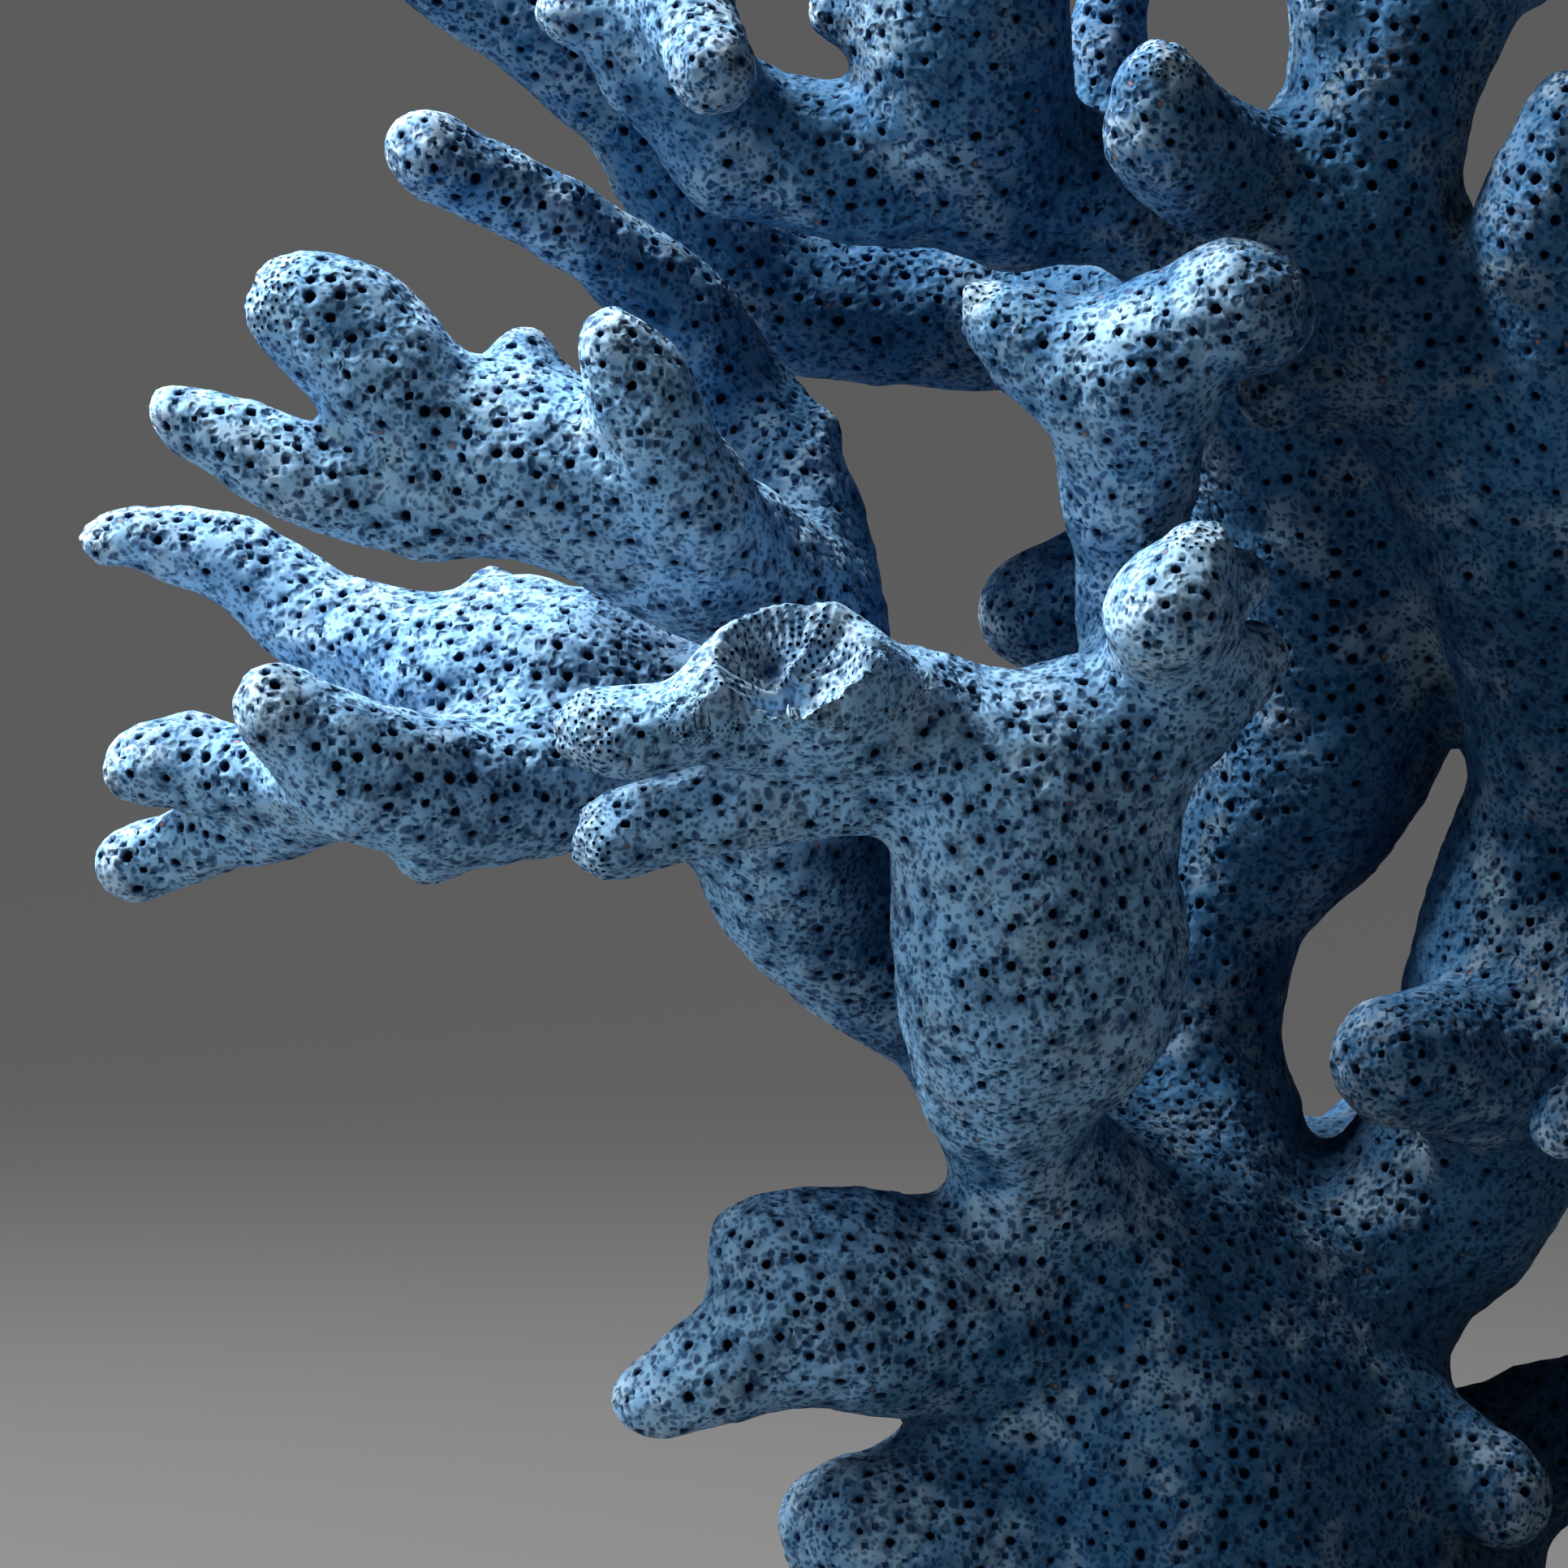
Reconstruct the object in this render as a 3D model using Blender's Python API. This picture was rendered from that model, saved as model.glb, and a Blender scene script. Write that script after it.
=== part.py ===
"""A colony of blue ridge coral, branching from a broad foot that is cut off flat.

The colony grew as one piece, so its limbs are grown together as one skin, which is then parted
at the main forks. Lengths in the tables are millimetres, +Z is up, -Y is the front, and the
origin is the middle of the cut face. A point of a limb is (x, y, z, radius of the limb there).
"""

import math
import random

import bmesh
import bpy
from mathutils import Vector

MM = 0.001

# A limb is a chain of balls whose fields melt into each other, as coral thickens in its forks.
BALL_SPACING = 0.45  # from ball to ball, as a share of the limb's radius
BALL_REACH = 1.508  # a ball's field against the radius of the limb that its chain makes
BALL_STIFFNESS = 1.5
FIELD_LEVEL = 0.6
LUMP_RADIUS = 0.06  # how far the balls' radii wander
LUMP_OFFSET = 0.10  # how far the balls stray from the middle of the limb, in radii
GROWTH_UNIT = 10  # millimetres in one unit of the field, whose resolution has a lowest value
FIELD_STEP = 1.1  # millimetres between samples of the field
SKIN_STEP = 1.0  # size of the faces of the skin before it is thinned out
SKIN_TRIANGLES = 7500
GROWTH_SEED = 12

FORK_GAP = 0.3  # the saw cut that parts two pieces at a fork
FORK_SIDES = 20
LEAST_PIECE = 40  # faces, below which a loose scrap is no piece

LIMBS = {
    "foot": {
        "base": [(0, 5, -7, 23), (-1, 4, 4, 20), (-4, 3, 11, 17.5), (-7.5, 2, 18, 16)],
        "waist": [(-7.5, 2, 18, 16), (-7.5, 2, 26, 15), (-7.5, 2, 32, 11)],
        "right_flare": [(8, 10, -7, 17), (8, 9, 2, 12), (8, 8, 9, 7)],
        "left_root": [(-4.5, -4, -2, 14), (-17, -6, -4, 9), (-26.5, -6, -4, 6)],
        "right_root": [(5, 6, -3, 14), (21, 6, -6, 9), (29, 4, -6, 5.5)],
        "back_root": [(3, 22, -6, 15), (6, 33, -10, 10.5)],
        "left_ledge": [(-12, -2, 10, 9.5), (-21.5, -6, 11.5, 7), (-26, -8, 12, 5.5),
                       (-30, -9, 12.5, 3.8)],
        "flank_bumps": [(7, -3, 17, 6), (12, -5, 16.5, 3.4), (15, -6, 14, 3)],
    },
    "low_left_branch": {
        "arm": [(-12.5, -4, 26, 8), (-20.5, -8, 26.5, 7), (-27, -11, 27.5, 6.5), (-32.5, -13, 28, 5.8)],
        "lobe": [(-28, -12, 30, 4.8), (-33, -13, 31, 4), (-35, -13, 31.5, 2.6)],
        "finger": [(-28, -12, 25.5, 5), (-34, -13, 24.6, 4.2), (-38.7, -14, 22.6, 3.1),
                   (-42.5, -14, 21, 2.1)],
    },
    "low_right_branch": {
        "arm": [(6, 10, 8, 8), (13, 9, 13, 6), (19, 7, 16.5, 5.6), (26, 4, 19, 5.2), (33, 0, 22, 4.6)],
        "finger": [(33, 0, 22, 4.6), (39, -4, 25, 3.6), (43, -7, 29, 2.6)],
        "lobe": [(29, 3, 20, 4.4), (36, 6, 18.5, 3.6), (40, 9, 19, 2.8)],
    },
    "low_back_branch": {
        "arm": [(2, 16, 18, 9.5), (-3, 27, 18, 6.6), (-9, 35, 20, 5.2)],
        "finger": [(-9, 35, 20, 5), (-15, 40, 23, 4), (-19, 42, 27, 2.8)],
        "lobe": [(-7, 34, 19, 4.6), (-5, 42, 20, 3.8), (-5, 46, 23, 2.8)],
    },
    "front_stem": {
        "stem": [(-11.5, -2, 29, 8), (-16.5, -10, 36, 5.6), (-18.5, -16, 41, 5),
                 (-18.5, -20, 46, 7), (-18, -22, 52, 7.8), (-18.5, -23, 58.5, 7.5)],
        "ridge": [(-16, -17, 42, 3.6), (-13.5, -20, 45.6, 4.7), (-13, -21, 50, 5.3),
                  (-13.5, -21, 55, 5.2), (-13, -22, 60, 4.8), (-10, -23, 64, 4.3)],
        "shoulder": [(-19, -24, 60, 6.5), (-14.5, -24, 63.5, 5), (-9.5, -24, 65.5, 4.3),
                     (-6, -24, 67.5, 3.5), (-3.5, -23, 69, 2.2)],
        "knob": [(-9, -24, 66, 4.3), (-9, -28, 69.5, 4.2), (-9.5, -33, 71.5, 4)],
        "knob_cap": [(-9, -33, 71.5, 2.9), (-7.5, -33, 75, 2.1)],
        "knob_spike": [(-8, -30, 72.5, 3), (-5, -28, 73, 2), (-4, -28, 73.5, 1.3)],
    },
    "front_hand": {
        "palm": [(-18.5, -24, 61, 6), (-23, -26, 64, 4.7), (-27, -28, 65, 4.2), (-31, -29, 65, 3.9)],
        "upper_finger": [(-31, -29, 65, 3.8), (-36, -30, 64.5, 3), (-40, -31, 64, 2.8),
                         (-44, -31, 63.5, 2.7)],
        "broken_stub": [(-28.5, -29, 65, 4), (-30.5, -32, 67, 3.7), (-32.5, -34, 68, 3)],
        "lower_finger": [(-25, -25, 61, 3.8), (-31, -26, 60, 3.1), (-37, -26, 59.2, 2.8),
                         (-41, -26, 58.2, 2.8), (-44, -26, 57.2, 2.6)],
    },
    "mitten": {
        "wrist": [(-9.5, -20, 66, 4.3), (-10.8, -20, 71.5, 3.7), (-11, -22, 76, 3.5), (-11.5, -25, 80, 4.2)],
        "palm": [(-11.5, -25, 80, 4.4), (-12, -26, 83.8, 5.1), (-10.8, -27, 87, 5.4)],
        "thumb": [(-12, -27, 85.6, 4.8), (-15.4, -27, 86.4, 4.4), (-18.4, -27, 88.4, 3),
                  (-20.8, -27, 90.2, 1.7)],
        "fingers": [(-10, -28, 87.4, 5.2), (-6.5, -29.5, 89.4, 4.9), (-4, -30, 90, 4),
                    (-2.4, -30, 88.6, 2.8)],
    },
    "left_stem": {
        "stem": [(-11.5, 2, 32, 8), (-16, 2, 40, 6.2), (-21.5, 1, 46.2, 5.7), (-27.5, -2, 50.2, 5.7),
                 (-31.5, -5, 54, 6.3), (-33, -9, 59, 6.3), (-32, -12, 64, 6)],
    },
    "left_hand": {
        "palm": [(-32, -12, 64, 6), (-31.5, -14, 69.5, 5.6), (-34.5, -17, 74, 5.4), (-39, -20, 76, 5.6),
                 (-44, -21, 79, 5.8), (-49, -22, 81, 5.3), (-53, -22, 82.5, 4.8)],
        "thumb": [(-53, -22, 82.5, 4.8), (-58, -23, 87.5, 4.4), (-61.5, -23, 90, 4.4), (-64.5, -23, 91, 3.6)],
        "pointer": [(-49, -22, 79, 4), (-55, -22, 78, 3.3), (-61, -22, 79.5, 3.2),
                    (-66, -22, 81.5, 2.9), (-69.5, -22, 83.5, 2.2), (-71.5, -22, 84.5, 1.2)],
        "knuckle": [(-49, -21, 84.5, 4), (-49, -20, 88, 2.2)],
        "front_finger": [(-37, -22, 75, 4), (-39.5, -26, 80, 3.8), (-41.5, -28, 85, 3.3),
                         (-43.5, -29, 88, 2.1)],
    },
    "long_finger": {
        "root": [(-31, -12, 69, 5.4), (-31.5, -9, 75, 5.1), (-33.5, -7, 80.5, 4.8), (-36, -6, 86, 4.2)],
        "finger": [(-36, -6, 86, 4.2), (-39.5, -8, 91, 3.5), (-43.5, -10, 94.5, 2.9),
                   (-48.5, -12, 97.5, 2.7), (-53.5, -14, 100, 2.8), (-56.5, -15, 101.5, 2.4)],
        "knob": [(-33, -7, 82, 3.2), (-30.5, -8, 83.5, 1.9)],
    },
    "pale_hand": {
        "palm": [(-33, -8, 60, 5.8), (-38.5, -8, 63.6, 6.2), (-44.5, -8, 66, 6.9),
                 (-50, -8, 66.8, 6.8), (-55, -8, 67.2, 5.8)],
        "raised_finger": [(-55, -8, 68, 4.7), (-61, -6, 70, 3.9), (-64.5, -5, 72.5, 3.5),
                          (-68.5, -5, 75.2, 3.1), (-73.5, -5, 76.6, 2.2), (-77.5, -5, 76.6, 1.8)],
        "peak": [(-51, -6, 70, 4.2), (-52, -5, 74, 1.4)],
    },
    "low_hand": {
        "palm": [(-38, -10, 61, 4.7), (-45.5, -13, 61, 4.7), (-51.5, -15, 60, 4.5),
                 (-56.5, -17, 60.5, 4.5), (-60.5, -18, 62.5, 4.3)],
        "knob": [(-60.5, -18, 62.5, 4.3), (-63.5, -19, 64.5, 3.8), (-65, -20, 66, 2.7)],
        "bump": [(-54.5, -14, 58.5, 3.6), (-56, -13, 55, 1.8)],
        "upper_finger": [(-62, -14, 61, 3.6), (-67.5, -11, 61.5, 3.2), (-71.5, -10, 62.5, 3),
                         (-74.5, -10, 62, 2.5)],
        "lower_finger": [(-62, -13, 59.5, 3.4), (-67.5, -8, 58, 2.8), (-72, -6, 56.5, 2.6),
                         (-76, -5, 55.5, 2.4)],
    },
    "centre_stem": {
        "stem": [(-4, 5, 28, 8), (-6, 6, 37, 7.6), (-5.7, 6, 46, 6.5), (-2.8, 5, 54, 6.1),
                 (3, 3, 63, 7.8), (4, 1, 73, 8.6), (1.5, -2, 82.5, 8.5), (-1.5, -5, 89.5, 7.9)],
        "side_finger": [(2, 4, 76, 5.5), (-6, 6, 75.5, 5), (-12, 7, 73.6, 4.9), (-16, 7, 72.2, 4.2)],
        "hanging_knob": [(3, -15, 87, 4), (-1, -17, 86.5, 3.2), (-1.8, -17, 84.5, 2.4)],
        "twig": [(-6, 3, 93, 3.8), (-10, 5, 102, 3), (-11, 6, 111, 2.7), (-9.5, 8, 119, 2.2)],
        "right_fork": [(17, -1, 53, 7.8), (20.5, -3.5, 60, 7.6), (20.5, -7, 66.5, 8.4), (17.5, -10, 75, 8.8),
                       (13.5, -13, 82, 7.8), (9, -15, 88, 7.2), (5, -17, 92, 6.9), (2, -18, 95, 5.6)],
        "tall_finger": [(17, -13, 76, 6), (16.5, -19, 84, 5.2), (15, -23, 92, 4.6), (14.5, -25, 97, 3.9),
                        (16, -26, 102.5, 2.8)],
    },
    "back_bough": {
        "bough": [(1.5, 2, 90, 6.5), (-9, 4, 91.5, 5.4), (-22.5, 5, 92, 4.9), (-33, 4, 94, 4.9),
                  (-38, 3, 99, 4.6), (-41, 2, 104, 4.2)],
        "outer_finger": [(-41, 2, 104, 4.2), (-46.5, 0, 109, 3.7), (-52, -2, 112, 3.2),
                         (-58, -3, 115.5, 2.4)],
        "inner_finger": [(-40, 3, 104, 3.9), (-43, 7, 112, 3.4), (-47, 9, 119, 2.6)],
    },
    "upper_hand": {
        "palm": [(-5, -10, 94, 6.3), (-10.5, -13, 98.5, 4.9), (-18, -14, 99.5, 5), (-27, -15, 100, 5),
                 (-34, -16, 101, 4.7), (-38.5, -17, 104, 4.1), (-41.5, -18, 107, 3.6)],
        "raised_tip": [(-41.5, -18, 107, 3.4), (-44.5, -19, 109, 2.6), (-47, -19, 109.5, 1.8)],
        "drooping_root": [(-36, -17, 101, 4.1), (-38, -21, 106.5, 3.1), (-39.5, -22, 110.5, 3)],
        "drooping_tip": [(-39.5, -22, 110.5, 3), (-38, -26, 106.5, 2.9), (-36.5, -29, 103.5, 2.6)],
    },
    "front_bough": {
        "bough": [(-17.5, -13, 97.5, 4.9), (-19.5, -17, 101.5, 5.4), (-21.5, -19, 106, 6.8),
                  (-22.5, -20, 112, 7.1), (-23, -19, 118, 5.8)],
        "bump": [(-21.5, -16, 98.5, 3.1), (-24, -18, 100.5, 2)],
    },
    "right_stem": {
        "stem": [(4.5, 5, 27, 8), (12.5, 3, 35.5, 7.2), (16.3, 1, 45, 7.7), (17, -1, 53, 7.8)],
        "low_lobe": [(16, 0, 41.5, 5.4), (12, -7, 42.5, 5.4), (7.5, -11, 43.2, 4.6), (5, -12, 43.4, 3.4)],
    },
    "right_arm": {
        "arm": [(5, -17, 91, 6.6), (0, -20, 97, 5.1), (-5.5, -23.5, 99, 4.2), (-9.5, -27.5, 100.5, 3.7),
                (-10, -29, 103.8, 2.9)],
    },
    "right_crown": {
        "stem": [(2, -18, 95, 5.6), (4.5, -20, 101.5, 6.1), (5.5, -20, 107, 6.3), (8.5, -20, 113.5, 5.8)],
    },
    "front_right_branch": {
        "root": [(17, -1, 47, 7.5), (25, -12, 46, 6), (26, -20, 46, 6.2)],
        "stem": [(26, -20, 46, 6.2), (22.5, -24, 50, 6.6), (25.5, -28, 59, 5.8), (31, -29, 66, 5.4)],
        "left_finger": [(22, -24, 44, 4.2), (17.5, -27, 40.8, 2.7), (14.6, -27, 39.8, 2.2)],
    },
    "far_right_branch": {
        "arm": [(18, 1, 46, 7), (30, 6, 48, 6.6), (40, 7, 56, 6.2), (48, 5, 65, 5.8)],
    },
    "upper_right_branch": {
        "arm": [(17, -9, 74, 7.5), (26, -4, 83, 6.4), (34, -2, 91, 5.8), (40, -2, 99, 5.4)],
    },
    "crown": {
        "stem": [(-1.5, -5, 89.5, 7.9), (2, 2, 97, 6.4), (6, 8, 105, 6.2), (8, 10, 114, 5.6)],
    },
    "back_stem": {
        "stem": [(-3, 11, 27, 9), (-5, 22, 37, 7), (-6, 29, 47, 7), (-4, 33, 57, 7), (1, 37, 67, 6.6),
                 (8, 38, 78, 6.2), (13, 37, 88, 5.8)],
    },
    "back_right_branch": {
        "arm": [(3, 12, 28, 8), (17, 24, 38, 6.2), (30, 30, 49, 6), (38, 33, 58, 5.4)],
    },
}

# Fans of fingers: branch, the limb that the fan ends, across, fingers, reach, and seed.
FANS = [
    ("front_bough", "bough", (1, 0.2, 0), 3, 15, 3),
    ("right_crown", "stem", (1, 0.3, 0.1), 3, 16, 4),
    ("front_right_branch", "stem", (0.5, -1, 0.1), 3, 15, 5),
    ("far_right_branch", "arm", (0.2, 1, 0.5), 4, 19, 6),
    ("upper_right_branch", "arm", (0.5, 1, -0.3), 4, 18, 7),
    ("crown", "stem", (1, 0.5, 0), 4, 20, 8),
    ("back_stem", "stem", (1, -0.1, 0.1), 4, 19, 9),
    ("back_right_branch", "arm", (0.6, -1, 0.5), 3, 17, 10),
]
FAN_SPREAD = 105  # degrees between a fan's outer fingers
FINGER_RADIUS = 3.7
FINGER_TIP_RADIUS = 2.5

# Blunt buds on a limb's sides: branch, limb, buds, and seed.
BUDS = [
    ("back_stem", "stem", 7, 21),
    ("back_right_branch", "arm", 4, 22),
    ("far_right_branch", "arm", 4, 23),
    ("upper_right_branch", "arm", 4, 24),
    ("crown", "stem", 3, 25),
    ("front_bough", "bough", 3, 32),
    ("right_crown", "stem", 3, 27),
    ("front_right_branch", "stem", 3, 35),
    ("foot", "back_root", 3, 29),
    ("foot", "right_root", 3, 30),
    ("low_back_branch", "arm", 2, 31),
]
BUD_RADIUS = 3
BUD_TIP_RADIUS = 2

# Each cut is a disc across a limb: the branch that starts there, middle, direction, and radius.
FORKS = [
    ("low_left_branch", (-25.5, -10.5, 27), (-1, -0.4, 0), 9),
    ("low_right_branch", (22, 5.8, 17.6), (1, -0.4, 0.4), 8),
    ("low_back_branch", (-3, 26.5, 18), (-0.4, 1, 0.1), 9.5),
    ("front_stem", (-17, -12.5, 38), (-0.2, -1, 0.9), 10.5),
    ("front_hand", (-24, -26.3, 63), (-1, -0.3, 0.15), 9.5),
    ("mitten", (-11.5, -23, 77.8), (0, -0.4, 1), 7),
    ("left_stem", (-20.5, 1.2, 45.2), (-0.9, -0.3, 0.9), 8.3),
    ("left_hand", (-32.6, -13.5, 69.4), (0.35, -0.3, 1), 10.2),
    ("long_finger", (-34.5, -6.6, 83), (-0.4, 0.1, 1), 7),
    ("pale_hand", (-41, -9.5, 62.7), (-1, 0, 0.1), 10),
    ("centre_stem", (-6, 5.8, 47), (0.1, 0, 1), 9),
    ("centre_stem", (19.5, -3, 57.5), (0.2, -0.4, 1), 9.5),
    ("back_bough", (-16, 4.5, 91.7), (-1, 0, 0), 7.5),
    ("upper_hand", (-13, -13.3, 99), (-1, -0.1, 0.15), 9),
    ("front_bough", (-22, -19.4, 108.5), (-0.1, -0.1, 1), 8.8),
    ("right_stem", (13, 2.3, 39), (0.6, -0.35, 1), 16),
    ("right_arm", (-4.5, -22.8, 98.8), (-1, -0.6, 0.2), 6.5),
    ("right_crown", (5, -20.2, 104), (0.1, 0, 1), 9),
    ("front_right_branch", (25, -13.5, 46), (0.2, -1, 0), 9),
    ("far_right_branch", (28, 5.2, 47.6), (1, 0.4, 0.2), 9),
    ("upper_right_branch", (24, -5.5, 81), (1, 0.5, 1), 10),
    ("crown", (4.5, 6, 102), (0.4, 0.6, 1), 9),
    ("back_stem", (-5.5, 26, 43), (-0.1, 0.6, 1), 10),
    ("back_right_branch", (15.5, 22.5, 37), (1, 0.8, 0.7), 9),
]

SKIN_COLOUR = (0.085, 0.2, 0.34, 1)
SKIN_ROUGHNESS = 0.9


def clear_scene():
    for obj in list(bpy.data.objects):
        bpy.data.objects.remove(obj)


def along(points, t):
    """The point at t, from 0 to 1 less than their number, on a smooth curve through points."""
    i = min(int(t), len(points) - 2)
    u = t - i
    near = [points[max(0, min(len(points) - 1, i + k))] for k in (-1, 0, 1, 2)]
    weights = (
        (-u + 2 * u**2 - u**3) / 2,
        (2 - 5 * u**2 + 3 * u**3) / 2,
        (u + 4 * u**2 - 3 * u**3) / 2,
        (u**3 - u**2) / 2,
    )
    return [sum(w * p[axis] for w, p in zip(weights, near)) for axis in range(4)]


def fan(limb, across, fingers, reach, seed):
    """Fingers that spread like a hand's from the end of a limb, and rise a little."""
    draw = random.Random(seed)
    start, end = Vector(limb[-2][:3]), Vector(limb[-1][:3])
    aim = (end - start).normalized()
    across = Vector(across)
    across = (across - aim * across.dot(aim)).normalized()
    made = []
    for i in range(fingers):
        turn = math.radians(FAN_SPREAD) * (i / (fingers - 1) - 0.5) + draw.uniform(-0.12, 0.12)
        way = aim * math.cos(turn) + across * math.sin(turn)
        length = reach * draw.uniform(0.8, 1.1)
        rise = Vector((0, 0, length * draw.uniform(0.1, 0.3)))
        bend = across.cross(aim) * length * draw.uniform(-0.25, 0.25)
        root = end - aim * 2
        middle = root + way * length * 0.5 + rise * 0.2 + bend
        tip = root + way * length + rise
        made.append([(*root, limb[-1][3] * 0.85), (*middle, FINGER_RADIUS), (*tip, FINGER_TIP_RADIUS)])
    return made


def buds(limb, count, seed):
    """Short blunt knobs that stand out of a limb's sides, more up than down."""
    draw = random.Random(seed)
    made = []
    for i in range(count):
        t = (i + draw.uniform(0.2, 0.8)) / count * (len(limb) - 1)
        x, y, z, radius = along(limb, t)
        root = Vector((x, y, z))
        aim = (Vector(along(limb, t + 0.05)[:3]) - root).normalized()
        way = Vector((draw.uniform(-1, 1), draw.uniform(-1, 1), draw.uniform(-0.2, 1)))
        way = (way - aim * way.dot(aim) + aim * 0.3).normalized()
        tip = root + way * (radius + draw.uniform(1, 3))
        made.append([(*(root + way * radius * 0.4), BUD_RADIUS), (*tip, BUD_TIP_RADIUS)])
    return made


def all_limbs():
    """Every limb of the colony, with the fingers of the fans and the buds."""
    limbs = [points for branch in LIMBS.values() for points in branch.values()]
    for branch, limb, across, fingers, reach, seed in FANS:
        limbs += fan(LIMBS[branch][limb], across, fingers, reach, seed)
    for branch, limb, count, seed in BUDS:
        limbs += buds(LIMBS[branch][limb], count, seed)
    return limbs


def grow_skin():
    """One closed skin over every limb, in metres."""
    field = bpy.data.metaballs.new("field")
    field.resolution = field.render_resolution = FIELD_STEP / GROWTH_UNIT
    field.threshold = FIELD_LEVEL
    for number, points in enumerate(all_limbs()):
        draw = random.Random(GROWTH_SEED + number)
        t = 0
        while t < len(points) - 1:
            x, y, z, radius = along(points, t)
            ahead = along(points, min(t + 0.01, len(points) - 1))
            stray = LUMP_OFFSET * radius
            centre = [c + draw.uniform(-stray, stray) for c in (x, y, z)]
            ball = field.elements.new(type="BALL")
            ball.co = [c / GROWTH_UNIT for c in centre]
            ball.radius = radius * BALL_REACH / GROWTH_UNIT * (1 + draw.uniform(-LUMP_RADIUS, LUMP_RADIUS))
            ball.stiffness = BALL_STIFFNESS
            speed = math.dist((x, y, z), ahead[:3]) / 0.01
            t += BALL_SPACING * radius / max(speed, 0.1)
    grown = bpy.data.objects.new("field", field)
    bpy.context.collection.objects.link(grown)
    bpy.context.view_layer.update()
    graph = bpy.context.evaluated_depsgraph_get()
    mesh = bpy.data.meshes.new_from_object(grown.evaluated_get(graph))
    bpy.data.objects.remove(grown)
    skin = bpy.data.objects.new("coral", mesh)
    bpy.context.collection.objects.link(skin)
    mesh.transform(skin.matrix_world.Scale(GROWTH_UNIT * MM, 4))
    return skin


def make_active(obj):
    bpy.ops.object.select_all(action="DESELECT")
    obj.select_set(True)
    bpy.context.view_layer.objects.active = obj


def apply(obj, kind, **settings):
    modifier = obj.modifiers.new(kind.title(), kind)
    for name, value in settings.items():
        setattr(modifier, name, value)
    make_active(obj)
    bpy.ops.object.modifier_apply(modifier=modifier.name)


def thin_out(skin):
    """Even faces first, then as few as keep the lumps."""
    apply(skin, "REMESH", mode="VOXEL", voxel_size=SKIN_STEP * MM)
    faces = bmesh.new()
    faces.from_mesh(skin.data)
    bmesh.ops.triangulate(faces, faces=faces.faces)
    share = SKIN_TRIANGLES / len(faces.faces)
    faces.to_mesh(skin.data)
    faces.free()
    apply(skin, "DECIMATE", ratio=share)


def cut_foot(skin):
    """Everything under the bed that the coral stood on is cut away, and the cut is flat."""
    foot = bmesh.new()
    foot.from_mesh(skin.data)
    everything = foot.verts[:] + foot.edges[:] + foot.faces[:]
    cut = bmesh.ops.bisect_plane(
        foot, geom=everything, plane_co=(0, 0, 0), plane_no=(0, 0, -1), clear_outer=True
    )
    rim = [part for part in cut["geom_cut"] if isinstance(part, bmesh.types.BMEdge)]
    bmesh.ops.triangle_fill(foot, edges=rim, use_beauty=True, normal=(0, 0, -1))
    bmesh.ops.recalc_face_normals(foot, faces=foot.faces)
    foot.to_mesh(skin.data)
    foot.free()


def saw_forks(skin):
    """A thin disc is taken out across the limb at each main fork."""
    for _, middle, way, radius in FORKS:
        turn = Vector((0, 0, 1)).rotation_difference(Vector(way))
        bpy.ops.mesh.primitive_cylinder_add(
            vertices=FORK_SIDES, radius=radius * MM, depth=FORK_GAP * MM,
            location=Vector(middle) * MM, rotation=turn.to_euler(),
        )
        disc = bpy.context.object
        apply(skin, "BOOLEAN", operation="DIFFERENCE", solver="EXACT", object=disc)
        bpy.data.objects.remove(disc)


def markers():
    """A point near the end of each piece, by which the piece is known after the cuts."""
    pieces = ["foot"] + list(dict.fromkeys(fork[0] for fork in FORKS))
    return {name: Vector(list(LIMBS[name].values())[0][-1][:3]) * MM for name in pieces}


def name_pieces(skin):
    """Loose parts become named objects."""
    make_active(skin)
    bpy.ops.mesh.separate(type="LOOSE")
    loose = [obj for obj in bpy.context.selected_objects if len(obj.data.polygons) > LEAST_PIECE]
    for scrap in set(bpy.context.selected_objects) - set(loose):
        bpy.data.objects.remove(scrap)
    found = {obj: [] for obj in loose}
    for name, place in markers().items():
        nearest = min(loose, key=lambda obj: min((v.co - place).length for v in obj.data.vertices))
        found[nearest].append(name)
    for obj, names in found.items():
        obj.name = "+".join(names)
    unnamed = [obj.name for obj in loose if obj.name not in LIMBS]
    if unnamed:
        raise ValueError(f"pieces that a cut at a fork should part, or that no branch names: {unnamed}")
    return loose


def finish(piece):
    """The chalky blue of a dry skeleton, shaded smooth but for the cuts."""
    material = bpy.data.materials.new(piece.name)
    material.use_nodes = True
    shader = material.node_tree.nodes["Principled BSDF"]
    shader.inputs["Base Color"].default_value = SKIN_COLOUR
    shader.inputs["Roughness"].default_value = SKIN_ROUGHNESS
    shader.inputs["Metallic"].default_value = 0
    piece.data.materials.clear()
    piece.data.materials.append(material)
    piece.data.shade_smooth()
    piece.data.set_sharp_from_angle(angle=math.radians(50))


def main():
    clear_scene()
    skin = grow_skin()
    thin_out(skin)
    cut_foot(skin)
    saw_forks(skin)
    for piece in name_pieces(skin):
        finish(piece)


main()
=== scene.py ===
"""The looks of a colony of blue ridge coral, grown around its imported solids.

The limbs are the ones that the solids were grown from. Here they grow into one fine skin, which
gets its lumps, broken ends, cups and pores, and is then parted at the main forks into one piece
for each solid. Lengths in the tables are millimetres, +Z is up, -Y is the front, and a point of
a limb is (x, y, z, radius of the limb there).
"""

import math
import random

import bpy
import numpy as np
from bpy.props import FloatProperty, FloatVectorProperty, IntProperty, PointerProperty
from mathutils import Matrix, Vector, noise
from mathutils.bvhtree import BVHTree
from mathutils.kdtree import KDTree


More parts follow.
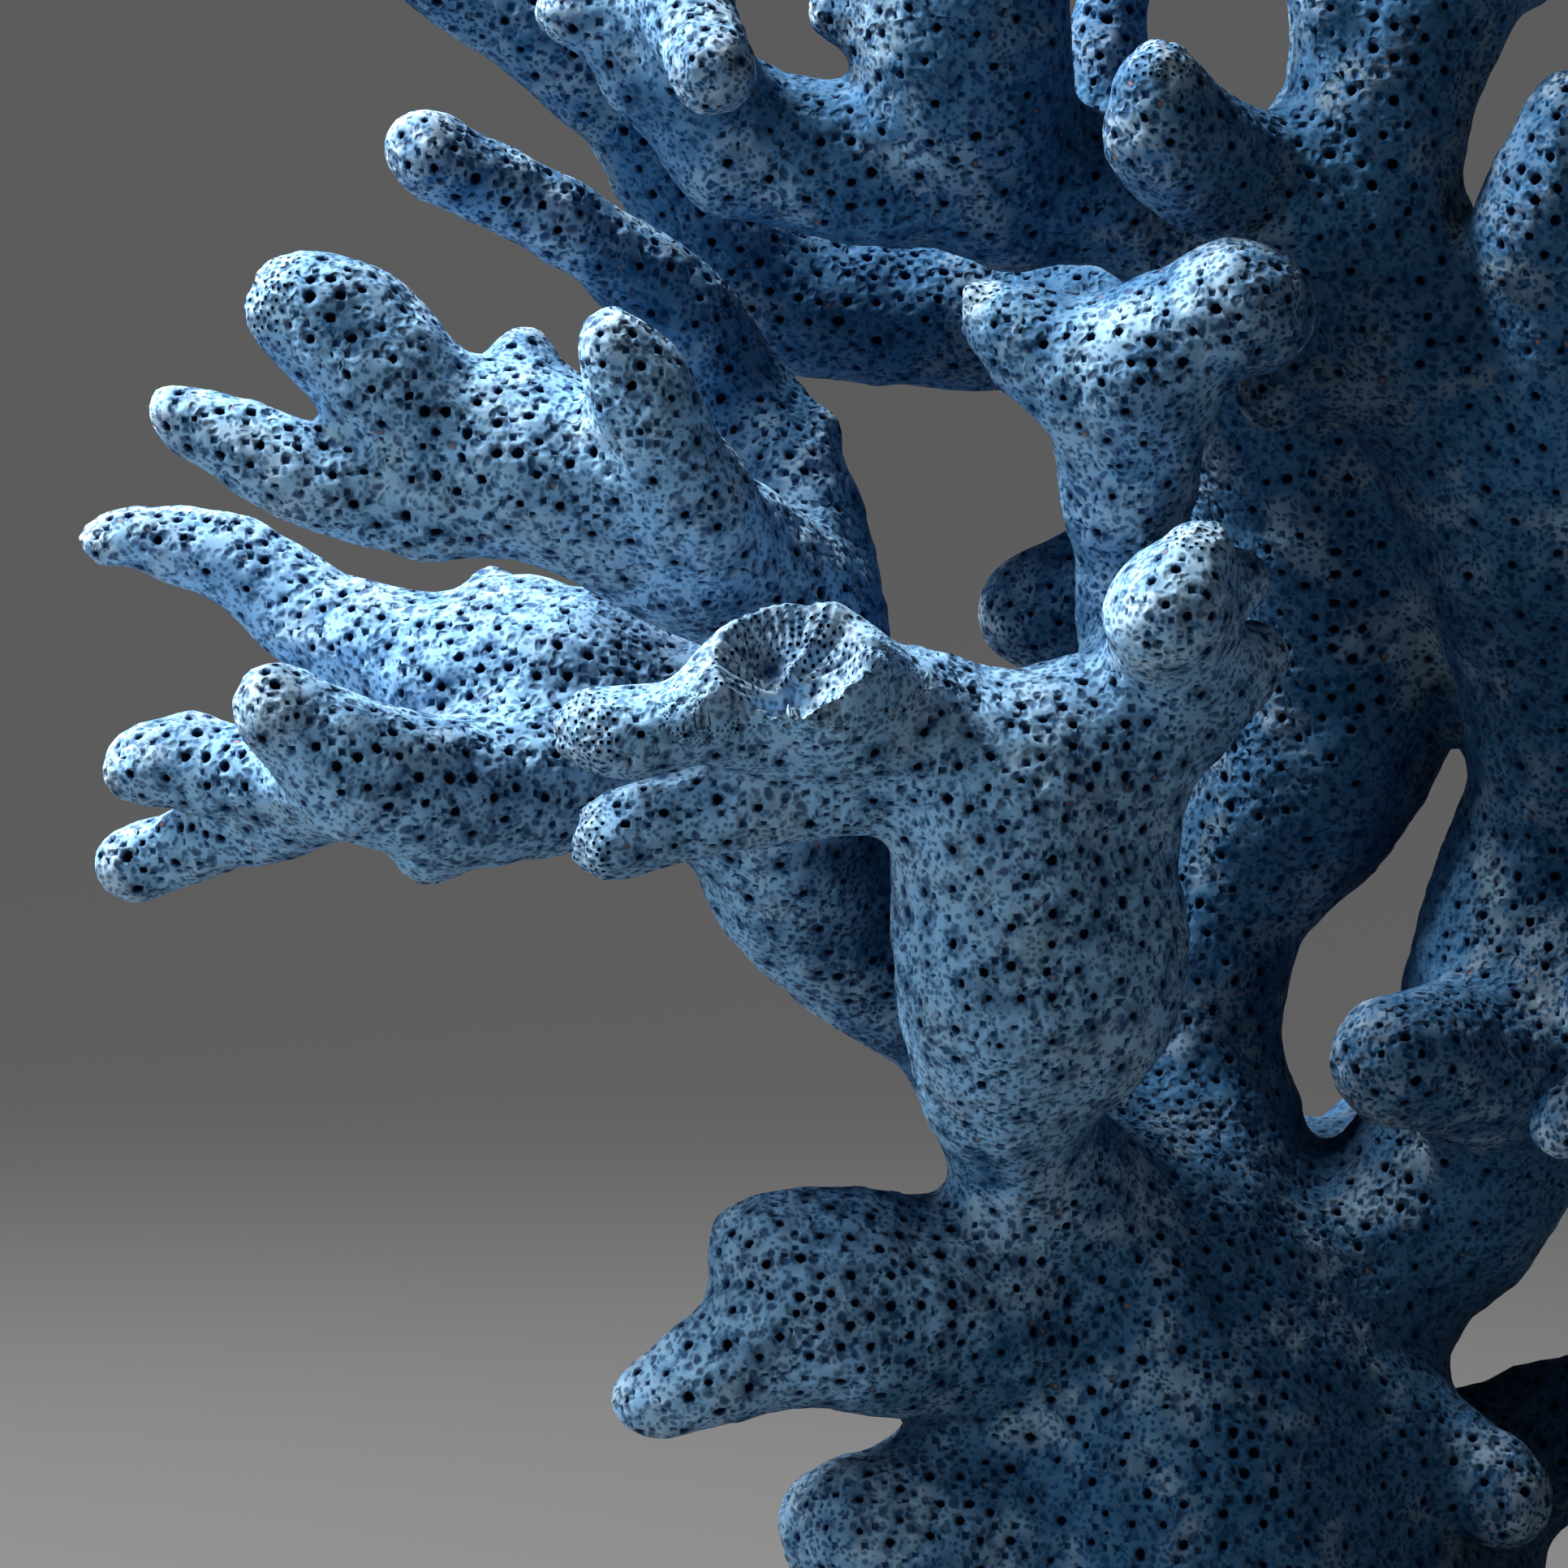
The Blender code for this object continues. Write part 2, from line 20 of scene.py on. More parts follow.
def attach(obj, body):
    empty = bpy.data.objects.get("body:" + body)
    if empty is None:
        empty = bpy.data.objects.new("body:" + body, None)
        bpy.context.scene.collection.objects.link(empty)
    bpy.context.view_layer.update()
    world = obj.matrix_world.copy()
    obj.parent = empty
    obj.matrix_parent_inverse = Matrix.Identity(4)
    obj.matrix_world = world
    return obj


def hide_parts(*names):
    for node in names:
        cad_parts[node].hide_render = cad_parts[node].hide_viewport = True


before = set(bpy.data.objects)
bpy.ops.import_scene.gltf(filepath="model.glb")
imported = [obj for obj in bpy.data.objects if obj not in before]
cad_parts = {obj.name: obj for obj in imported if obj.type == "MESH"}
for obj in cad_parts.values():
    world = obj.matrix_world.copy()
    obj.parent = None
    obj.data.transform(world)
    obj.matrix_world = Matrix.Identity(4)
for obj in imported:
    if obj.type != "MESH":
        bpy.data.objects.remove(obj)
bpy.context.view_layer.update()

bl_info = {
    "name": "Blue ridge coral",
    "version": (1, 0, 0),
    "blender": (4, 5, 0),
    "location": "3D View > Sidebar > Coral",
    "description": "Grows a branching colony of blue coral with its cups, pores and chalky finish",
    "category": "Add Mesh",
}

MM = 0.001

LIMBS = {
    "foot": {
        "base": [(0, 5, -7, 23), (-1, 4, 4, 20), (-4, 3, 11, 17.5), (-7.5, 2, 18, 16)],
        "waist": [(-7.5, 2, 18, 16), (-7.5, 2, 26, 15), (-7.5, 2, 32, 11)],
        "right_flare": [(8, 10, -7, 17), (8, 9, 2, 12), (8, 8, 9, 7)],
        "left_root": [(-4.5, -4, -2, 14), (-17, -6, -4, 9), (-26.5, -6, -4, 6)],
        "right_root": [(5, 6, -3, 14), (21, 6, -6, 9), (29, 4, -6, 5.5)],
        "back_root": [(3, 22, -6, 15), (6, 33, -10, 10.5)],
        "left_ledge": [(-12, -2, 10, 9.5), (-21.5, -6, 11.5, 7), (-26, -8, 12, 5.5),
                       (-30, -9, 12.5, 3.8)],
        "flank_bumps": [(7, -3, 17, 6), (12, -5, 16.5, 3.4), (15, -6, 14, 3)],
    },
    "low_left_branch": {
        "arm": [(-12.5, -4, 26, 8), (-20.5, -8, 26.5, 7), (-27, -11, 27.5, 6.5), (-32.5, -13, 28, 5.8)],
        "lobe": [(-28, -12, 30, 4.8), (-33, -13, 31, 4), (-35, -13, 31.5, 2.6)],
        "finger": [(-28, -12, 25.5, 5), (-34, -13, 24.6, 4.2), (-38.7, -14, 22.6, 3.1),
                   (-42.5, -14, 21, 2.1)],
    },
    "low_right_branch": {
        "arm": [(6, 10, 8, 8), (13, 9, 13, 6), (19, 7, 16.5, 5.6), (26, 4, 19, 5.2), (33, 0, 22, 4.6)],
        "finger": [(33, 0, 22, 4.6), (39, -4, 25, 3.6), (43, -7, 29, 2.6)],
        "lobe": [(29, 3, 20, 4.4), (36, 6, 18.5, 3.6), (40, 9, 19, 2.8)],
    },
    "low_back_branch": {
        "arm": [(2, 16, 18, 9.5), (-3, 27, 18, 6.6), (-9, 35, 20, 5.2)],
        "finger": [(-9, 35, 20, 5), (-15, 40, 23, 4), (-19, 42, 27, 2.8)],
        "lobe": [(-7, 34, 19, 4.6), (-5, 42, 20, 3.8), (-5, 46, 23, 2.8)],
    },
    "front_stem": {
        "stem": [(-11.5, -2, 29, 8), (-16.5, -10, 36, 5.6), (-18.5, -16, 41, 5),
                 (-18.5, -20, 46, 7), (-18, -22, 52, 7.8), (-18.5, -23, 58.5, 7.5)],
        "ridge": [(-16, -17, 42, 3.6), (-13.5, -20, 45.6, 4.7), (-13, -21, 50, 5.3),
                  (-13.5, -21, 55, 5.2), (-13, -22, 60, 4.8), (-10, -23, 64, 4.3)],
        "shoulder": [(-19, -24, 60, 6.5), (-14.5, -24, 63.5, 5), (-9.5, -24, 65.5, 4.3),
                     (-6, -24, 67.5, 3.5), (-3.5, -23, 69, 2.2)],
        "knob": [(-9, -24, 66, 4.3), (-9, -28, 69.5, 4.2), (-9.5, -33, 71.5, 4)],
        "knob_cap": [(-9, -33, 71.5, 2.9), (-7.5, -33, 75, 2.1)],
        "knob_spike": [(-8, -30, 72.5, 3), (-5, -28, 73, 2), (-4, -28, 73.5, 1.3)],
    },
    "front_hand": {
        "palm": [(-18.5, -24, 61, 6), (-23, -26, 64, 4.7), (-27, -28, 65, 4.2), (-31, -29, 65, 3.9)],
        "upper_finger": [(-31, -29, 65, 3.8), (-36, -30, 64.5, 3), (-40, -31, 64, 2.8),
                         (-44, -31, 63.5, 2.7)],
        "broken_stub": [(-28.5, -29, 65, 4), (-30.5, -32, 67, 3.7), (-32.5, -34, 68, 3)],
        "lower_finger": [(-25, -25, 61, 3.8), (-31, -26, 60, 3.1), (-37, -26, 59.2, 2.8),
                         (-41, -26, 58.2, 2.8), (-44, -26, 57.2, 2.6)],
    },
    "mitten": {
        "wrist": [(-9.5, -20, 66, 4.3), (-10.8, -20, 71.5, 3.7), (-11, -22, 76, 3.5), (-11.5, -25, 80, 4.2)],
        "palm": [(-11.5, -25, 80, 4.4), (-12, -26, 83.8, 5.1), (-10.8, -27, 87, 5.4)],
        "thumb": [(-12, -27, 85.6, 4.8), (-15.4, -27, 86.4, 4.4), (-18.4, -27, 88.4, 3),
                  (-20.8, -27, 90.2, 1.7)],
        "fingers": [(-10, -28, 87.4, 5.2), (-6.5, -29.5, 89.4, 4.9), (-4, -30, 90, 4),
                    (-2.4, -30, 88.6, 2.8)],
    },
    "left_stem": {
        "stem": [(-11.5, 2, 32, 8), (-16, 2, 40, 6.2), (-21.5, 1, 46.2, 5.7), (-27.5, -2, 50.2, 5.7),
                 (-31.5, -5, 54, 6.3), (-33, -9, 59, 6.3), (-32, -12, 64, 6)],
    },
    "left_hand": {
        "palm": [(-32, -12, 64, 6), (-31.5, -14, 69.5, 5.6), (-34.5, -17, 74, 5.4), (-39, -20, 76, 5.6),
                 (-44, -21, 79, 5.8), (-49, -22, 81, 5.3), (-53, -22, 82.5, 4.8)],
        "thumb": [(-53, -22, 82.5, 4.8), (-58, -23, 87.5, 4.4), (-61.5, -23, 90, 4.4), (-64.5, -23, 91, 3.6)],
        "pointer": [(-49, -22, 79, 4), (-55, -22, 78, 3.3), (-61, -22, 79.5, 3.2),
                    (-66, -22, 81.5, 2.9), (-69.5, -22, 83.5, 2.2), (-71.5, -22, 84.5, 1.2)],
        "knuckle": [(-49, -21, 84.5, 4), (-49, -20, 88, 2.2)],
        "front_finger": [(-37, -22, 75, 4), (-39.5, -26, 80, 3.8), (-41.5, -28, 85, 3.3),
                         (-43.5, -29, 88, 2.1)],
    },
    "long_finger": {
        "root": [(-31, -12, 69, 5.4), (-31.5, -9, 75, 5.1), (-33.5, -7, 80.5, 4.8), (-36, -6, 86, 4.2)],
        "finger": [(-36, -6, 86, 4.2), (-39.5, -8, 91, 3.5), (-43.5, -10, 94.5, 2.9),
                   (-48.5, -12, 97.5, 2.7), (-53.5, -14, 100, 2.8), (-56.5, -15, 101.5, 2.4)],
        "knob": [(-33, -7, 82, 3.2), (-30.5, -8, 83.5, 1.9)],
    },
    "pale_hand": {
        "palm": [(-33, -8, 60, 5.8), (-38.5, -8, 63.6, 6.2), (-44.5, -8, 66, 6.9),
                 (-50, -8, 66.8, 6.8), (-55, -8, 67.2, 5.8)],
        "raised_finger": [(-55, -8, 68, 4.7), (-61, -6, 70, 3.9), (-64.5, -5, 72.5, 3.5),
                          (-68.5, -5, 75.2, 3.1), (-73.5, -5, 76.6, 2.2), (-77.5, -5, 76.6, 1.8)],
        "peak": [(-51, -6, 70, 4.2), (-52, -5, 74, 1.4)],
    },
    "low_hand": {
        "palm": [(-38, -10, 61, 4.7), (-45.5, -13, 61, 4.7), (-51.5, -15, 60, 4.5),
                 (-56.5, -17, 60.5, 4.5), (-60.5, -18, 62.5, 4.3)],
        "knob": [(-60.5, -18, 62.5, 4.3), (-63.5, -19, 64.5, 3.8), (-65, -20, 66, 2.7)],
        "bump": [(-54.5, -14, 58.5, 3.6), (-56, -13, 55, 1.8)],
        "upper_finger": [(-62, -14, 61, 3.6), (-67.5, -11, 61.5, 3.2), (-71.5, -10, 62.5, 3),
                         (-74.5, -10, 62, 2.5)],
        "lower_finger": [(-62, -13, 59.5, 3.4), (-67.5, -8, 58, 2.8), (-72, -6, 56.5, 2.6),
                         (-76, -5, 55.5, 2.4)],
    },
    "centre_stem": {
        "stem": [(-4, 5, 28, 8), (-6, 6, 37, 7.6), (-5.7, 6, 46, 6.5), (-2.8, 5, 54, 6.1),
                 (3, 3, 63, 7.8), (4, 1, 73, 8.6), (1.5, -2, 82.5, 8.5), (-1.5, -5, 89.5, 7.9)],
        "side_finger": [(2, 4, 76, 5.5), (-6, 6, 75.5, 5), (-12, 7, 73.6, 4.9), (-16, 7, 72.2, 4.2)],
        "hanging_knob": [(3, -15, 87, 4), (-1, -17, 86.5, 3.2), (-1.8, -17, 84.5, 2.4)],
        "twig": [(-6, 3, 93, 3.8), (-10, 5, 102, 3), (-11, 6, 111, 2.7), (-9.5, 8, 119, 2.2)],
        "right_fork": [(17, -1, 53, 7.8), (20.5, -3.5, 60, 7.6), (20.5, -7, 66.5, 8.4), (17.5, -10, 75, 8.8),
                       (13.5, -13, 82, 7.8), (9, -15, 88, 7.2), (5, -17, 92, 6.9), (2, -18, 95, 5.6)],
        "tall_finger": [(17, -13, 76, 6), (16.5, -19, 84, 5.2), (15, -23, 92, 4.6), (14.5, -25, 97, 3.9),
                        (16, -26, 102.5, 2.8)],
    },
    "back_bough": {
        "bough": [(1.5, 2, 90, 6.5), (-9, 4, 91.5, 5.4), (-22.5, 5, 92, 4.9), (-33, 4, 94, 4.9),
                  (-38, 3, 99, 4.6), (-41, 2, 104, 4.2)],
        "outer_finger": [(-41, 2, 104, 4.2), (-46.5, 0, 109, 3.7), (-52, -2, 112, 3.2),
                         (-58, -3, 115.5, 2.4)],
        "inner_finger": [(-40, 3, 104, 3.9), (-43, 7, 112, 3.4), (-47, 9, 119, 2.6)],
    },
    "upper_hand": {
        "palm": [(-5, -10, 94, 6.3), (-10.5, -13, 98.5, 4.9), (-18, -14, 99.5, 5), (-27, -15, 100, 5),
                 (-34, -16, 101, 4.7), (-38.5, -17, 104, 4.1), (-41.5, -18, 107, 3.6)],
        "raised_tip": [(-41.5, -18, 107, 3.4), (-44.5, -19, 109, 2.6), (-47, -19, 109.5, 1.8)],
        "drooping_root": [(-36, -17, 101, 4.1), (-38, -21, 106.5, 3.1), (-39.5, -22, 110.5, 3)],
        "drooping_tip": [(-39.5, -22, 110.5, 3), (-38, -26, 106.5, 2.9), (-36.5, -29, 103.5, 2.6)],
    },
    "front_bough": {
        "bough": [(-17.5, -13, 97.5, 4.9), (-19.5, -17, 101.5, 5.4), (-21.5, -19, 106, 6.8),
                  (-22.5, -20, 112, 7.1), (-23, -19, 118, 5.8)],
        "bump": [(-21.5, -16, 98.5, 3.1), (-24, -18, 100.5, 2)],
    },
    "right_stem": {
        "stem": [(4.5, 5, 27, 8), (12.5, 3, 35.5, 7.2), (16.3, 1, 45, 7.7), (17, -1, 53, 7.8)],
        "low_lobe": [(16, 0, 41.5, 5.4), (12, -7, 42.5, 5.4), (7.5, -11, 43.2, 4.6), (5, -12, 43.4, 3.4)],
    },
    "right_arm": {
        "arm": [(5, -17, 91, 6.6), (0, -20, 97, 5.1), (-5.5, -23.5, 99, 4.2), (-9.5, -27.5, 100.5, 3.7),
                (-10, -29, 103.8, 2.9)],
    },
    "right_crown": {
        "stem": [(2, -18, 95, 5.6), (4.5, -20, 101.5, 6.1), (5.5, -20, 107, 6.3), (8.5, -20, 113.5, 5.8)],
    },
    "front_right_branch": {
        "root": [(17, -1, 47, 7.5), (25, -12, 46, 6), (26, -20, 46, 6.2)],
        "stem": [(26, -20, 46, 6.2), (22.5, -24, 50, 6.6), (25.5, -28, 59, 5.8), (31, -29, 66, 5.4)],
        "left_finger": [(22, -24, 44, 4.2), (17.5, -27, 40.8, 2.7), (14.6, -27, 39.8, 2.2)],
    },
    "far_right_branch": {
        "arm": [(18, 1, 46, 7), (30, 6, 48, 6.6), (40, 7, 56, 6.2), (48, 5, 65, 5.8)],
    },
    "upper_right_branch": {
        "arm": [(17, -9, 74, 7.5), (26, -4, 83, 6.4), (34, -2, 91, 5.8), (40, -2, 99, 5.4)],
    },
    "crown": {
        "stem": [(-1.5, -5, 89.5, 7.9), (2, 2, 97, 6.4), (6, 8, 105, 6.2), (8, 10, 114, 5.6)],
    },
    "back_stem": {
        "stem": [(-3, 11, 27, 9), (-5, 22, 37, 7), (-6, 29, 47, 7), (-4, 33, 57, 7), (1, 37, 67, 6.6),
                 (8, 38, 78, 6.2), (13, 37, 88, 5.8)],
    },
    "back_right_branch": {
        "arm": [(3, 12, 28, 8), (17, 24, 38, 6.2), (30, 30, 49, 6), (38, 33, 58, 5.4)],
    },
}

# Fans of fingers: branch, the limb that the fan ends, across, fingers, reach, and seed.
FANS = [
    ("front_bough", "bough", (1, 0.2, 0), 3, 15, 3),
    ("right_crown", "stem", (1, 0.3, 0.1), 3, 16, 4),
    ("front_right_branch", "stem", (0.5, -1, 0.1), 3, 15, 5),
    ("far_right_branch", "arm", (0.2, 1, 0.5), 4, 19, 6),
    ("upper_right_branch", "arm", (0.5, 1, -0.3), 4, 18, 7),
    ("crown", "stem", (1, 0.5, 0), 4, 20, 8),
    ("back_stem", "stem", (1, -0.1, 0.1), 4, 19, 9),
    ("back_right_branch", "arm", (0.6, -1, 0.5), 3, 17, 10),
]
FAN_SPREAD = 105  # degrees between a fan's outer fingers
FINGER_RADIUS = 3.7
FINGER_TIP_RADIUS = 2.5

# Blunt buds on a limb's sides: branch, limb, buds, and seed.
BUDS = [
    ("back_stem", "stem", 7, 21),
    ("back_right_branch", "arm", 4, 22),
    ("far_right_branch", "arm", 4, 23),
    ("upper_right_branch", "arm", 4, 24),
    ("crown", "stem", 3, 25),
    ("front_bough", "bough", 3, 32),
    ("right_crown", "stem", 3, 27),
    ("front_right_branch", "stem", 3, 35),
    ("foot", "back_root", 3, 29),
    ("foot", "right_root", 3, 30),
    ("low_back_branch", "arm", 2, 31),
]
BUD_RADIUS = 3
BUD_TIP_RADIUS = 2

# Each cut is a disc across a limb: the branch that starts there, middle, direction, and radius.
FORKS = [
    ("low_left_branch", (-25.5, -10.5, 27), (-1, -0.4, 0), 9),
    ("low_right_branch", (22, 5.8, 17.6), (1, -0.4, 0.4), 8),
    ("low_back_branch", (-3, 26.5, 18), (-0.4, 1, 0.1), 9.5),
    ("front_stem", (-17, -12.5, 38), (-0.2, -1, 0.9), 10.5),
    ("front_hand", (-24, -26.3, 63), (-1, -0.3, 0.15), 9.5),
    ("mitten", (-11.5, -23, 77.8), (0, -0.4, 1), 7),
    ("left_stem", (-20.5, 1.2, 45.2), (-0.9, -0.3, 0.9), 8.3),
    ("left_hand", (-32.6, -13.5, 69.4), (0.35, -0.3, 1), 10.2),
    ("long_finger", (-34.5, -6.6, 83), (-0.4, 0.1, 1), 7),
    ("pale_hand", (-41, -9.5, 62.7), (-1, 0, 0.1), 10),
    ("centre_stem", (-6, 5.8, 47), (0.1, 0, 1), 9),
    ("centre_stem", (19.5, -3, 57.5), (0.2, -0.4, 1), 9.5),
    ("back_bough", (-16, 4.5, 91.7), (-1, 0, 0), 7.5),
    ("upper_hand", (-13, -13.3, 99), (-1, -0.1, 0.15), 9),
    ("front_bough", (-22, -19.4, 108.5), (-0.1, -0.1, 1), 8.8),
    ("right_stem", (13, 2.3, 39), (0.6, -0.35, 1), 16),
    ("right_arm", (-4.5, -22.8, 98.8), (-1, -0.6, 0.2), 6.5),
    ("right_crown", (5, -20.2, 104), (0.1, 0, 1), 9),
    ("front_right_branch", (25, -13.5, 46), (0.2, -1, 0), 9),
    ("far_right_branch", (28, 5.2, 47.6), (1, 0.4, 0.2), 9),
    ("upper_right_branch", (24, -5.5, 81), (1, 0.5, 1), 10),
    ("crown", (4.5, 6, 102), (0.4, 0.6, 1), 9),
    ("back_stem", (-5.5, 26, 43), (-0.1, 0.6, 1), 10),
    ("back_right_branch", (15.5, 22.5, 37), (1, 0.8, 0.7), 9),
]
FORK_REACH = 1.1  # of a disc's radius, for the lumps that the skin has and the solids don't
FORK_DEPTH = 2 * MM  # a face further from a disc than this isn't parted by it
SCRAP_FACES = 400  # a part of the skin with more faces than this has to have a name

# A limb is a chain of balls whose fields melt into each other, as coral thickens in its forks.
BALL_SPACING = 0.45  # from ball to ball, as a share of the limb's radius
BALL_REACH = 1.508  # a ball's field against the radius of the limb that its chain makes
BALL_STIFFNESS = 1.5
FIELD_LEVEL = 0.6
LUMP_RADIUS = 0.06  # how far the balls' radii wander
LUMP_OFFSET = 0.10  # how far the balls stray from the middle of the limb, in radii
GROWTH_UNIT = 10  # millimetres in one unit of the field, whose resolution has a lowest value
GROWTH_SEED = 12
LUMP_SIZE = 6 * MM  # across a broad lump of the skin
KNOB_SIZE = 2.2 * MM  # across a small knob
SKIN = "skin"


class SkinSettings(bpy.types.PropertyGroup):
    step: FloatProperty(
        name="Skin step", description="Size of the skin's faces between the cups",
        default=0.00064, unit="LENGTH", precision=5,
    )
    lump_height: FloatProperty(
        name="Lump height", description="How far the broad lumps of the limbs rise and sink",
        default=0.0011, unit="LENGTH", precision=5,
    )
    knob_height: FloatProperty(
        name="Knob height", description="How far the small knobs on the limbs rise and sink",
        default=0.0005, unit="LENGTH", precision=5,
    )


class PoreSettings(bpy.types.PropertyGroup):
    cup_radius: FloatProperty(
        name="Cup radius", description="Half the width of the cup that a polyp sat in",
        default=0.00034, unit="LENGTH", precision=5,
    )
    cup_spacing: FloatProperty(
        name="Cup spacing", description="Least distance from cup to cup",
        default=0.00145, unit="LENGTH", precision=5,
    )
    cup_depth: FloatProperty(
        name="Cup depth", description="From a cup's rim to its floor",
        default=0.0007, unit="LENGTH", precision=5,
    )
    pore_share: FloatProperty(
        name="Pore share", description="Share of the skin's free faces that sink into a pore",
        default=0.5, min=0, max=1, subtype="FACTOR",
    )
    pore_depth: FloatProperty(
        name="Pore depth", description="How deep such a pore is",
        default=0.00025, unit="LENGTH", precision=5,
    )
    seed: IntProperty(name="Seed", description="Another number scatters the cups another way", default=5)


def colour(name, description, default):
    return FloatVectorProperty(
        name=name, description=description, subtype="COLOR", size=4, min=0, max=1, default=default
    )


class CoralColours(bpy.types.PropertyGroup):
    net: colour("Net", "The chalky net between the pores", (0.265, 0.515, 0.80, 1))
    body: colour("Body", "The blue skeleton under the net", (0.004, 0.066, 0.170, 1))
    pore: colour("Pore", "The deep blue inside small pores", (0.003, 0.040, 0.125, 1))
    # Painted shade: the near-black laid inside the cups, where shade falls.
    cup: colour("Cup", "The darkness inside the cups", (0.002, 0.014, 0.045, 1))
    worn: colour("Worn", "Bleached and worn tips", (0.62, 0.76, 0.86, 1))
    stain: colour("Stain", "The yellowish tint in the hollows", (0.42, 0.4, 0.26, 1))
    # Painted shade: the near-black blue laid where the skin is closed in, and more near the foot, where shade
    # falls.
    depth: colour("Depth", "Painted_shade blue of the sheltered inner parts", (0.001, 0.011, 0.035, 1))
    grit: colour("Grit", "Tiny specks of rusty grit", (0.30, 0.13, 0.05, 1))


class StageSettings(bpy.types.PropertyGroup):
    radius: FloatProperty(
        name="Floor radius", description="How far the floor runs before it sweeps up",
        default=0.75, unit="LENGTH",
    )
    sweep: FloatProperty(
        name="Sweep", description="Radius of the curve from the floor to the wall",
        default=0.5, unit="LENGTH",
    )
    height: FloatProperty(name="Wall height", description="Height of the wall", default=1.6, unit="LENGTH")
    paper: colour("Paper", "The plain grey floor and wall", (0.062, 0.062, 0.064, 1))
    glow: FloatProperty(
        name="Room light", description="The even dim light that the paper gives back to the coral",
        default=0.1, min=0,
    )
    key_power: FloatProperty(
        name="Key light", description="The soft light from the upper left", default=5.9,
        unit="POWER",
    )
    fill_power: FloatProperty(
        name="Fill light", description="The dim light from the lower left", default=0.8,
        unit="POWER",
    )


SETTINGS = {
    "coral_skin": SkinSettings,
    "coral_pores": PoreSettings,
    "coral_colours": CoralColours,
    "coral_stage": StageSettings,
}


def make_active(obj):
    bpy.ops.object.select_all(action="DESELECT")
    obj.select_set(True)
    bpy.context.view_layer.objects.active = obj


def apply(obj, kind, **settings):
    modifier = obj.modifiers.new(kind.title(), kind)
    for name, value in settings.items():
        setattr(modifier, name, value)
    make_active(obj)
    bpy.ops.object.modifier_apply(modifier=modifier.name)


def along(points, t):
    """The point at t, from 0 to 1 less than their number, on a smooth curve through points."""
    i = min(int(t), len(points) - 2)
    u = t - i
    near = [points[max(0, min(len(points) - 1, i + k))] for k in (-1, 0, 1, 2)]
    weights = (
        (-u + 2 * u**2 - u**3) / 2,
        (2 - 5 * u**2 + 3 * u**3) / 2,
        (u + 4 * u**2 - 3 * u**3) / 2,
        (u**3 - u**2) / 2,
    )
    return [sum(w * p[axis] for w, p in zip(weights, near)) for axis in range(4)]


def fan(limb, across, fingers, reach, seed):
    """Fingers that spread like a hand's from the end of a limb, and rise a little."""
    draw = random.Random(seed)
    start, end = Vector(limb[-2][:3]), Vector(limb[-1][:3])
    aim = (end - start).normalized()
    across = Vector(across)
    across = (across - aim * across.dot(aim)).normalized()
    made = []
    for i in range(fingers):
        turn = math.radians(FAN_SPREAD) * (i / (fingers - 1) - 0.5) + draw.uniform(-0.12, 0.12)
        way = aim * math.cos(turn) + across * math.sin(turn)
        length = reach * draw.uniform(0.8, 1.1)
        rise = Vector((0, 0, length * draw.uniform(0.1, 0.3)))
        bend = across.cross(aim) * length * draw.uniform(-0.25, 0.25)
        root = end - aim * 2
        middle = root + way * length * 0.5 + rise * 0.2 + bend
        tip = root + way * length + rise
        made.append([(*root, limb[-1][3] * 0.85), (*middle, FINGER_RADIUS), (*tip, FINGER_TIP_RADIUS)])
    return made


def buds(limb, count, seed):
    """Short blunt knobs that stand out of a limb's sides, more up than down."""
    draw = random.Random(seed)
    made = []
    for i in range(count):
        t = (i + draw.uniform(0.2, 0.8)) / count * (len(limb) - 1)
        x, y, z, radius = along(limb, t)
        root = Vector((x, y, z))
        aim = (Vector(along(limb, t + 0.05)[:3]) - root).normalized()
        way = Vector((draw.uniform(-1, 1), draw.uniform(-1, 1), draw.uniform(-0.2, 1)))
        way = (way - aim * way.dot(aim) + aim * 0.3).normalized()
        tip = root + way * (radius + draw.uniform(1, 3))
        made.append([(*(root + way * radius * 0.4), BUD_RADIUS), (*tip, BUD_TIP_RADIUS)])
    return made


def all_limbs():
    """Every limb of the colony, with the fingers of the fans and the buds."""
    limbs = [points for branch in LIMBS.values() for points in branch.values()]
    for branch, limb, across, fingers, reach, seed in FANS:
        limbs += fan(LIMBS[branch][limb], across, fingers, reach, seed)
    for branch, limb, count, seed in BUDS:
        limbs += buds(LIMBS[branch][limb], count, seed)
    return limbs


def grow_skin(step):
    """One closed skin over every limb, in metres."""
    bpy.ops.object.select_all(action="DESELECT")
    bpy.ops.object.metaball_add(type="BALL", location=(0, 0, 0))
    field = bpy.context.object.data
    field.elements.clear()
    field.resolution = field.render_resolution = step / MM / GROWTH_UNIT
    field.threshold = FIELD_LEVEL
    for number, points in enumerate(all_limbs()):
        draw = random.Random(GROWTH_SEED + number)
        t = 0
        while t < len(points) - 1:
            x, y, z, radius = along(points, t)
            ahead = along(points, min(t + 0.01, len(points) - 1))
            stray = LUMP_OFFSET * radius
            centre = [c + draw.uniform(-stray, stray) for c in (x, y, z)]
            ball = field.elements.new(type="BALL")
            ball.co = [c / GROWTH_UNIT for c in centre]
            ball.radius = radius * BALL_REACH / GROWTH_UNIT * (1 + draw.uniform(-LUMP_RADIUS, LUMP_RADIUS))
            ball.stiffness = BALL_STIFFNESS
            speed = math.dist((x, y, z), ahead[:3]) / 0.01
            t += BALL_SPACING * radius / max(speed, 0.1)
    bpy.ops.object.convert(target="MESH")
    skin = bpy.context.object
    skin.name = SKIN
    skin.scale = [GROWTH_UNIT * MM] * 3
    bpy.ops.object.transform_apply(location=True, rotation=True, scale=True)
    return skin


def cloud(name, size):
    """A field of soft lumps, for a Displace modifier. The size is in metres."""
    texture = bpy.data.textures.new(name, "CLOUDS")
    texture.noise_scale = size
    texture.noise_depth = 2
    return texture


